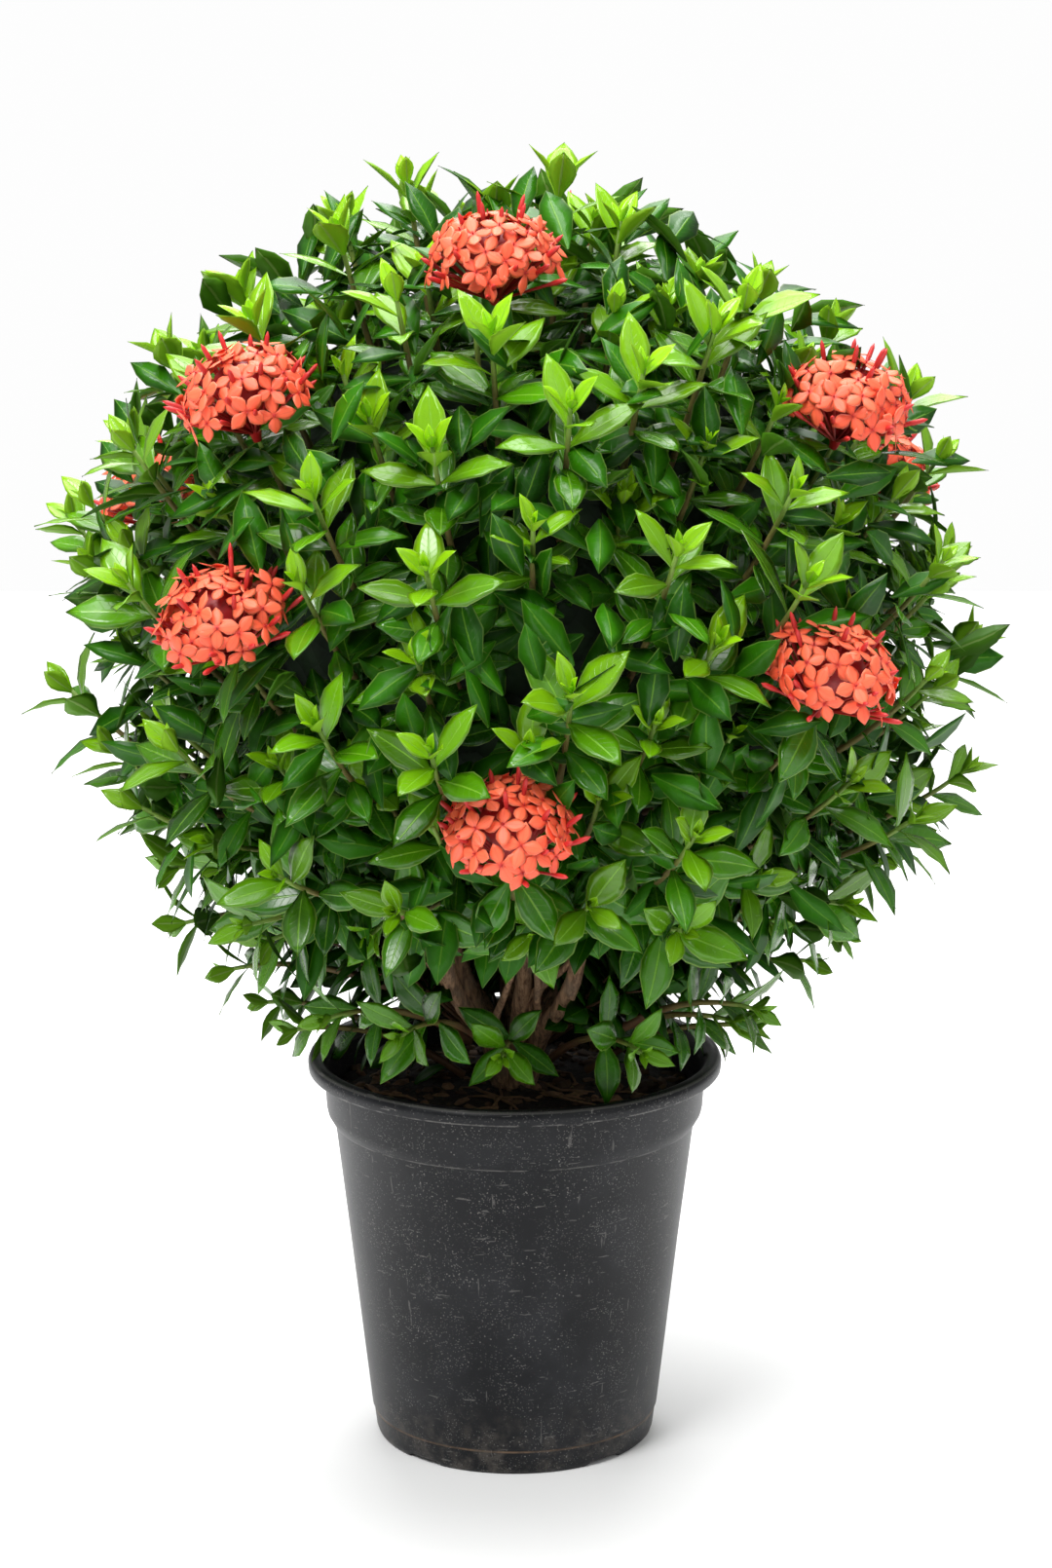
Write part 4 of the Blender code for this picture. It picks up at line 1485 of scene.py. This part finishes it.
# The pot, the soil and the stems
@dataclass
class NurseryPot:
    """A tapered pot with a collar, a rolled rim and a foot ring with drain gaps."""

    height: float = 0.268
    rim: float = 0.140
    base: float = 0.0945
    collar_z: float = 0.2225
    wall: float = 0.0022
    foot: float = 0.003
    steps: int = 160
    gaps: tuple[float, ...] = (41.0, 139.0, 221.0, 319.0)
    gap_width: float = 15.0
    wander: float = 0.0006

    def profile(self) -> list[tuple[float, float]]:
        """Gives the turned outline, from the middle of the floor inside, over the rim, to under the foot.

        Returns:
            Its points, each a radius and a height.
        """
        top = self.height
        return [
            (0.0, self.foot + self.wall),
            (self.base - self.wall - 0.002, self.foot + self.wall),
            (self.base - self.wall + 0.0005, self.foot + self.wall + 0.003),
            (0.1214 - self.wall, self.collar_z - 0.003),
            (0.1263 - self.wall, self.collar_z + 0.003),
            (0.1285 - self.wall, 0.2560),
            (0.1290, top - 0.0040),
            (0.1312, top - 0.0008),
            (0.1336, top),
            (0.1372, top - 0.0003),
            (0.1389, top - 0.0018),
            (self.rim, top - 0.0046),
            (self.rim - 0.0004, top - 0.0094),
            (self.rim - 0.0010, top - 0.0101),
            (0.1300, top - 0.0104),
            (0.1291, top - 0.0112),
            (0.1288, top - 0.0140),
            (0.1275, self.collar_z + 0.0100),
            (0.1266, self.collar_z + 0.0060),
            (0.1238, self.collar_z + 0.0012),
            (0.1232, self.collar_z + 0.0002),
            (0.1222, self.collar_z - 0.0003),
            (0.1217, self.collar_z - 0.0012),
            (0.1120, 0.1400),
            (0.0980, 0.0196),
            (0.0974, 0.0184),
            (0.0966, 0.0172),
            (0.0969, 0.0160),
            (0.0966, 0.0148),
            (0.0952, 0.0040),
            (self.base - 0.0004, 0.0010),
            (self.base - 0.0016, 0.0),
            (self.base - 0.0052, 0.0),
            (self.base - 0.0070, self.foot),
            (0.0640, self.foot),
            (0.0, self.foot),
        ]

    def build(self, material: bpy.types.Material) -> bpy.types.Object:
        """Turns the pot and opens its drain gaps.

        Args:
            material: Its plastic.

        Returns:
            The piece.
        """
        press = Press()
        turn_profile(press.bm, self.profile(), self.steps)
        for vertex in press.bm.verts:
            self._shape(vertex)
        for face in press.bm.faces:
            face.smooth = True
        made = press.piece("nursery_pot", [material], Slot.PLASTIC, "pot")
        made.data.set_sharp_from_angle(angle=math.radians(38))
        return made

    def _shape(self, vertex: bmesh.types.BMVert) -> None:
        """Lifts the foot ring at a drain gap and lets the thin wall wander a little.

        Args:
            vertex: The corner to move.
        """
        x, y, z = vertex.co
        out = math.hypot(x, y)
        turn = math.degrees(math.atan2(x, -y)) % 360.0
        if z < 0.0012 and out > self.base - 0.008:
            near = min(abs((turn - gap + 180.0) % 360.0 - 180.0) for gap in self.gaps)
            if near < self.gap_width / 2:
                vertex.co.z = self.foot * 0.95
        if z > 0.02 and out > 0.05:
            wander = noise.noise(Vector((x * 7.0, y * 7.0, z * 5.0))) * self.wander
            vertex.co.xy *= 1.0 + wander / out


@dataclass
class Soil:
    """Potting mix, uneven on top, with bark chips and dry bits lying on it."""

    radius: float = 0.1240
    level: float = 0.238
    rise: float = 0.008
    rings: int = 26
    steps: int = 110
    low_radius: float = 0.1175
    depth: float = 0.030
    chips: int = 420
    twigs: int = 16

    def surface(self, x: float, y: float) -> float:
        """Gives the soil's height at a point.

        Args:
            x: The point's place to the right of the middle.
            y: Its place behind the middle.

        Returns:
            The height.
        """
        share = min(1.0, math.hypot(x, y) / self.radius)
        crumbs = noise.fractal(Vector((x * 60.0, y * 60.0, 3.0)), 1.0, 2.0, 4) * 0.0022
        return self.level + self.rise * (1.0 - share * share) + crumbs

    def build(self, mix: bpy.types.Material, litter: bpy.types.Material) -> None:
        """Builds the mix and its litter.

        Args:
            mix: The mix's finish.
            litter: The chips' finish.
        """
        press = Press()
        line = [(self.radius * index / self.rings, self.level) for index in range(self.rings + 1)]
        line += [(self.low_radius, self.level - self.depth), (0.0, self.level - self.depth)]
        turn_profile(press.bm, line, self.steps)
        for vertex in press.bm.verts:
            if vertex.co.z > self.level - 0.01:
                vertex.co.z = self.surface(vertex.co.x, vertex.co.y)
        press.piece("soil_mix", [mix], Slot.MIX, "soil")
        self._litter(litter)

    def _litter(self, material: bpy.types.Material) -> None:
        """Scatters chips and dry twigs over the mix.

        Args:
            material: Their finish.
        """
        draw = random.Random(Seed.LITTER)
        chip = self._chip()
        press = Press()
        for _ in range(self.chips):
            around, out = draw.uniform(0.0, math.tau), self.radius * 0.97 * math.sqrt(draw.random())
            x, y = out * math.cos(around), out * math.sin(around)
            size = draw.uniform(0.0014, 0.0050)
            grow = Matrix.Diagonal((size * draw.uniform(0.8, 2.4), size, size * draw.uniform(0.3, 0.8), 1.0))
            tip = Matrix.Rotation(draw.gauss(0.0, 0.5), 4, "X") @ Matrix.Rotation(
                draw.gauss(0.0, 0.3), 4, "Y"
            )
            turn = Matrix.Rotation(draw.uniform(0, math.tau), 4, "Z")
            place = Matrix.Translation((x, y, self.surface(x, y))) @ turn
            press.stamp(chip, place @ tip @ grow, (0.0, draw.random() ** 2, 0.0))
        for _ in range(self.twigs):
            around, out = draw.uniform(0.0, math.tau), draw.uniform(0.03, 0.10)
            way = draw.uniform(0.0, math.tau)
            points = []
            for index in range(5):
                run = (index - 2) * 0.012
                x = out * math.cos(around) + run * math.cos(way + 0.15 * index)
                y = out * math.sin(around) + run * math.sin(way + 0.15 * index)
                shrink = min(1.0, 0.115 / max(math.hypot(x, y), 0.001))
                x, y = x * shrink, y * shrink
                points.append(Vector((x, y, self.surface(x, y) + 0.0015 + 0.001 * (index % 2))))
            press.sweep(points, [0.0009, 0.0011, 0.0010, 0.0009, 0.0005], [(0.0, 0.7, 0.0)] * 5)
        press.piece("soil_litter", [material], Slot.BARK)

    @staticmethod
    def _chip() -> bpy.types.Mesh:
        """Makes the rough chip that the litter is copies of.

        Returns:
            Its mesh.
        """
        bm = bmesh.new()
        make_tone(bm)
        bm.loops.layers.uv.new("blade")
        bmesh.ops.create_icosphere(bm, subdivisions=1, radius=1.0)
        for vertex in bm.verts:
            vertex.co *= 1.0 + 0.25 * noise.noise(vertex.co * 3.0)
        return close_mesh(bm, "chip")


@dataclass
class WoodyStems:
    """The old wood: a stump from which limbs fan out and fork into the crown."""

    crown: Crown
    soil: Soil
    limbs: int = 8
    limb_radius: float = 0.0062
    seed: int = 20

    def limb(self, index: int) -> list[Vector]:
        """Gives the points of a limb, from the stump into the crown.

        Args:
            index: Which limb, from 0.

        Returns:
            The points.
        """
        draw = random.Random(self.seed + index)
        turn = math.radians(360.0 * index / self.limbs + draw.uniform(-12, 12))
        out = Vector((math.sin(turn), -math.cos(turn), 0.0))
        reach = 0.088 if index % 2 else 0.052
        top = self.soil.level + self.soil.rise
        low = out * 0.006 + UP * (top - 0.010)
        knee = out * (0.30 * reach) + UP * (top + 0.034 + draw.uniform(-0.006, 0.006))
        elbow = out * (0.66 * reach) + UP * (top + 0.074)
        toward = (self.crown.centre + out * (1.9 * reach) - elbow).normalized()
        return [low, knee, elbow, elbow + toward * 0.06, elbow + toward * 0.13]

    def build(self, bark: bpy.types.Material) -> bpy.types.Object:
        """Builds the stump, the limbs and their forks.

        Args:
            bark: The bark.

        Returns:
            The piece.
        """
        press = Press()
        top = self.soil.level + self.soil.rise
        stump = [UP * (top - 0.028), UP * (top - 0.006), UP * (top + 0.003), UP * (top + 0.010)]
        press.sweep(stump, [0.020, 0.018, 0.0155, 0.009], [PLAIN_TONE] * 4, sides=20)
        for index in range(self.limbs):
            draw = random.Random(Seed.BARK + index)
            points = self._curved(self.limb(index), draw)
            count = len(points)
            taper = [1.25 - 0.6 * step / count for step in range(count)]
            radii = [self.limb_radius * share * draw.uniform(0.93, 1.07) for share in taper]
            press.sweep(points, radii, [PLAIN_TONE] * count, sides=10)
            for fork in range(3):
                self._fork(press, points, 4 + 3 * fork, draw)
        return press.piece("old_wood", [bark], Slot.BARK, "woody_stems")

    @staticmethod
    def _curved(points: list[Vector], draw: random.Random) -> list[Vector]:
        """Smooths a limb's points into a gently crooked line.

        Args:
            points: The limb's points.
            draw: The limb's random numbers.

        Returns:
            The line, four steps to a point.
        """
        line = []
        for index in range(len(points) - 1):
            before = points[max(index - 1, 0)]
            after = points[min(index + 2, len(points) - 1)]
            for step in range(4):
                share = step / 4
                slope_in, slope_out = (points[index + 1] - before) / 2, (after - points[index]) / 2
                a = 2 * share**3 - 3 * share**2 + 1
                b = share**3 - 2 * share**2 + share
                c = 3 * share**2 - 2 * share**3
                d = share**3 - share**2
                bent = points[index] * a + slope_in * b + points[index + 1] * c + slope_out * d
                line.append(bent + Vector((draw.gauss(0, 0.0007), draw.gauss(0, 0.0007), 0.0)))
        return line + [points[-1]]

    def _fork(self, press: Press, points: list[Vector], at: int, draw: random.Random) -> None:
        """Adds a thinner branch that leaves a limb and rises into the crown.

        Args:
            press: The mesh it goes into.
            points: The limb's line.
            at: Where on it the branch leaves.
            draw: The limb's random numbers.
        """
        start = points[at]
        out = Vector((start.x, start.y, 0.0)).normalized()
        side = out.cross(UP) * draw.uniform(-0.9, 0.9)
        way = (out * 0.8 + side + UP * 1.1).normalized()
        line = [start]
        for _ in range(6):
            way = (way + UP * 0.08 + scatter(draw, 0.06)).normalized()
            line.append(line[-1] + way * 0.020)
        radii = [self.limb_radius * 0.5 * (1.0 - 0.09 * step) for step in range(len(line))]
        press.sweep(line, radii, [PLAIN_TONE] * len(line), sides=7)


# The whole plant
class PottedIxora:
    """The plant, its pot, and which solid each of its pieces stands for."""

    inner_leaves: int = 2400
    inner_span: tuple[float, float] = (0.60, 0.89)
    skirt_twigs: int = 40
    skirt_rise: float = 0.02
    heart_lump: float = 0.018

    def __init__(self) -> None:
        """Makes the finishes and the sub-assemblies."""
        self.crown = Crown()
        self.soil = Soil()
        self.foliage = Foliage(self.crown)
        self.head = FlowerHead()
        self.leaf = [GlossyLeaf().build(), LeafUnderside().build(), Twig().build()]
        self.petal = [CoralPetal().build(), RedTube().build()]
        self.bark = Bark().build()

    def build(self) -> None:
        """Builds every piece."""
        NurseryPot().build(ScuffedPlastic().build())
        self.soil.build(PottingMix().build(), DryLitter().build())
        WoodyStems(self.crown, self.soil).build(self.bark)
        self._core()
        self._heads()
        self._shoots()

    def _core(self) -> None:
        """Adds a dark lumpy body that stands for the shade in the heart of the crown, and the leaves inside
        it.
        """
        # Painted shade: a dark lumpy sphere fills the crown's heart in place of its shadow.
        press = Press()
        wide = self.crown.core_radius
        grow = Vector((wide, wide, self.crown.core_half_height))
        made = bmesh.ops.create_icosphere(press.bm, subdivisions=4, radius=1.0)
        for vertex in made["verts"]:
            out = vertex.co.normalized()
            lump = noise.noise(out * 3.0) * self.heart_lump
            vertex.co = self.crown.centre + out * grow + out * lump
        press.piece("crown_shade_core", [InnerDark().build()], Slot.INNER_LEAF, "inner_foliage")
        press = Press()
        self.foliage.inner(press, self.inner_leaves, self.inner_span, Seed.INNER)
        foot_z = self.soil.level + self.soil.rise + self.skirt_rise
        self.foliage.skirt(press, self.skirt_twigs, foot_z, Seed.SKIRT)
        press.piece("inner_leaves", self.leaf, Slot.INNER_LEAF, "inner_foliage")

    def _heads(self) -> None:
        """Adds the flower heads and the stems that carry them."""
        for index, outward in enumerate(self.crown.head_directions(), 1):
            axis = (Vector((outward.x, outward.y, 0.0)) * 0.45 + UP).normalized()
            foot = self.crown.head_place(index - 1) - axis * (0.5 * self.crown.head_neck)
            press = Press()
            self.head.build(press, foot, axis, Seed.HEAD + index)
            press.piece(f"bloom_{index:02d}", self.petal, Slot.PETAL, f"flower_head_{index:02d}")
            press = Press()
            tip = foot + axis * 0.004
            self.foliage.shoot(press, outward, Seed.STEM + index, tip, flowering=True)
            press.piece(f"bloom_stem_{index:02d}", self.leaf, Slot.LEAF, f"flowering_stem_{index:02d}")

    def _shoots(self) -> None:
        """Adds the leafy shoots, gathered by the solid shoot that each stands nearest."""
        solid = self._solid_directions()
        groups: dict[int, list[Shoot]] = {index: [] for index in range(len(solid))}
        shoots: list[Shoot] = [
            (number, way, None) for number, way in enumerate(self.crown.shoot_directions())
        ]
        for number, tip in enumerate(self.crown.outline_places()):
            shoots.append((Seed.OUTLINE + number, self.crown.outward(tip), tip))
        for number, outward, tip in shoots:
            nearest = max(groups, key=lambda index: solid[index].dot(outward))
            groups[nearest].append((number, outward, tip))
        for index, members in groups.items():
            press = Press()
            for number, outward, tip in members or [(Seed.SPARE + index, solid[index], None)]:
                self.foliage.shoot(press, outward, number, tip)
            press.piece(f"shoots_{index + 1:02d}", self.leaf, Slot.LEAF, f"leafy_shoot_{index + 1:02d}")

    def _solid_directions(self) -> list[Vector]:
        """Gives the directions of the solid shoots, from their boxes.

        Returns:
            The directions, in the order of the solids.
        """
        ways = []
        for index in range(self.crown.solid_shoots):
            low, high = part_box(f"leafy_shoot_{index + 1:02d}")
            ways.append(((Vector(low) + Vector(high)) / 2 - self.crown.centre).normalized())
        return ways


@dataclass
class Studio:
    """A white room: a pale floor, soft light from above and the front, and the camera."""

    camera_place: Triple = (0.0078, -2.727, 1.081)
    tilt: float = 77.04
    lens: float = 96.15
    room_light: float = 0.36
    backdrop: float = 0.985

    def build(self) -> None:
        """Sets up the floor, the light and the camera."""
        bpy.context.scene.view_settings.view_transform = "Standard"
        self._floor()
        self._world()
        self._light("key", (-1.2, -1.7, 2.7), 1.3, 70.0)
        self._light("fill", (1.7, -1.6, 1.5), 1.8, 9.0)
        self._light("top", (0.1, 0.2, 3.2), 3.0, 125.0)
        self._light("rear", (0.0, 3.2, 3.4), 3.0, 96.0)
        self._camera()

    def _floor(self) -> None:
        """Lays the pale floor."""
        bm = bmesh.new()
        bmesh.ops.create_grid(bm, x_segments=1, y_segments=1, size=3.2)
        mesh = close_mesh(bm, "floor")
        bench = NodeBench("pale_floor")
        mesh.materials.append(bench.finish((0.97, 0.97, 0.97), 0.9, Specular_IOR_Level=0.0))
        floor = stand("floor", mesh)

    def _world(self) -> None:
        """Lights the room evenly in white."""
        world = bpy.data.worlds.new("room")
        bpy.context.scene.world = world
        world.use_nodes = True
        tree = world.node_tree
        plain, seen = tree.nodes["Background"], tree.nodes.new("ShaderNodeBackground")
        for node, strength in ((plain, self.room_light), (seen, self.backdrop)):
            node.inputs["Color"].default_value = (1.0, 1.0, 1.0, 1.0)
            node.inputs["Strength"].default_value = strength
        path = tree.nodes.new("ShaderNodeLightPath")
        mix = tree.nodes.new("ShaderNodeMixShader")
        tree.links.new(path.outputs["Is Camera Ray"], mix.inputs[0])
        tree.links.new(plain.outputs[0], mix.inputs[1])
        tree.links.new(seen.outputs[0], mix.inputs[2])
        tree.links.new(mix.outputs[0], tree.nodes["World Output"].inputs[0])

    def _light(self, name: str, place: Triple, size: float, power: float) -> None:
        """Hangs a soft panel that faces the plant.

        Args:
            name: The light's name.
            place: Where it hangs.
            size: How wide it is.
            power: Its power in watts.
        """
        data = bpy.data.lights.new(name, "AREA")
        data.shape = "DISK"
        data.size = size
        data.energy = power
        lamp = stand(name, data)
        lamp.location = place
        lamp.rotation_euler = (Vector((0.0, 0.0, 0.5)) - Vector(place)).to_track_quat("-Z", "Y").to_euler()

    def _camera(self) -> None:
        """Stands the camera where the photograph was taken from."""
        data = bpy.data.cameras.new("camera")
        data.lens = self.lens
        data.sensor_width = 36.0
        data.sensor_fit = "AUTO"
        camera = stand("camera", data)
        camera.location = self.camera_place
        camera.rotation_euler = (math.radians(self.tilt), 0.0, 0.0)
        bpy.context.scene.camera = camera


def main() -> None:
    """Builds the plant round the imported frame."""
    logging.basicConfig(level=logging.INFO, format="%(name)s %(message)s")
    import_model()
    PottedIxora().build()
    Studio().build()
    bpy.context.view_layer.update()


if __name__ == "__main__":
    main()
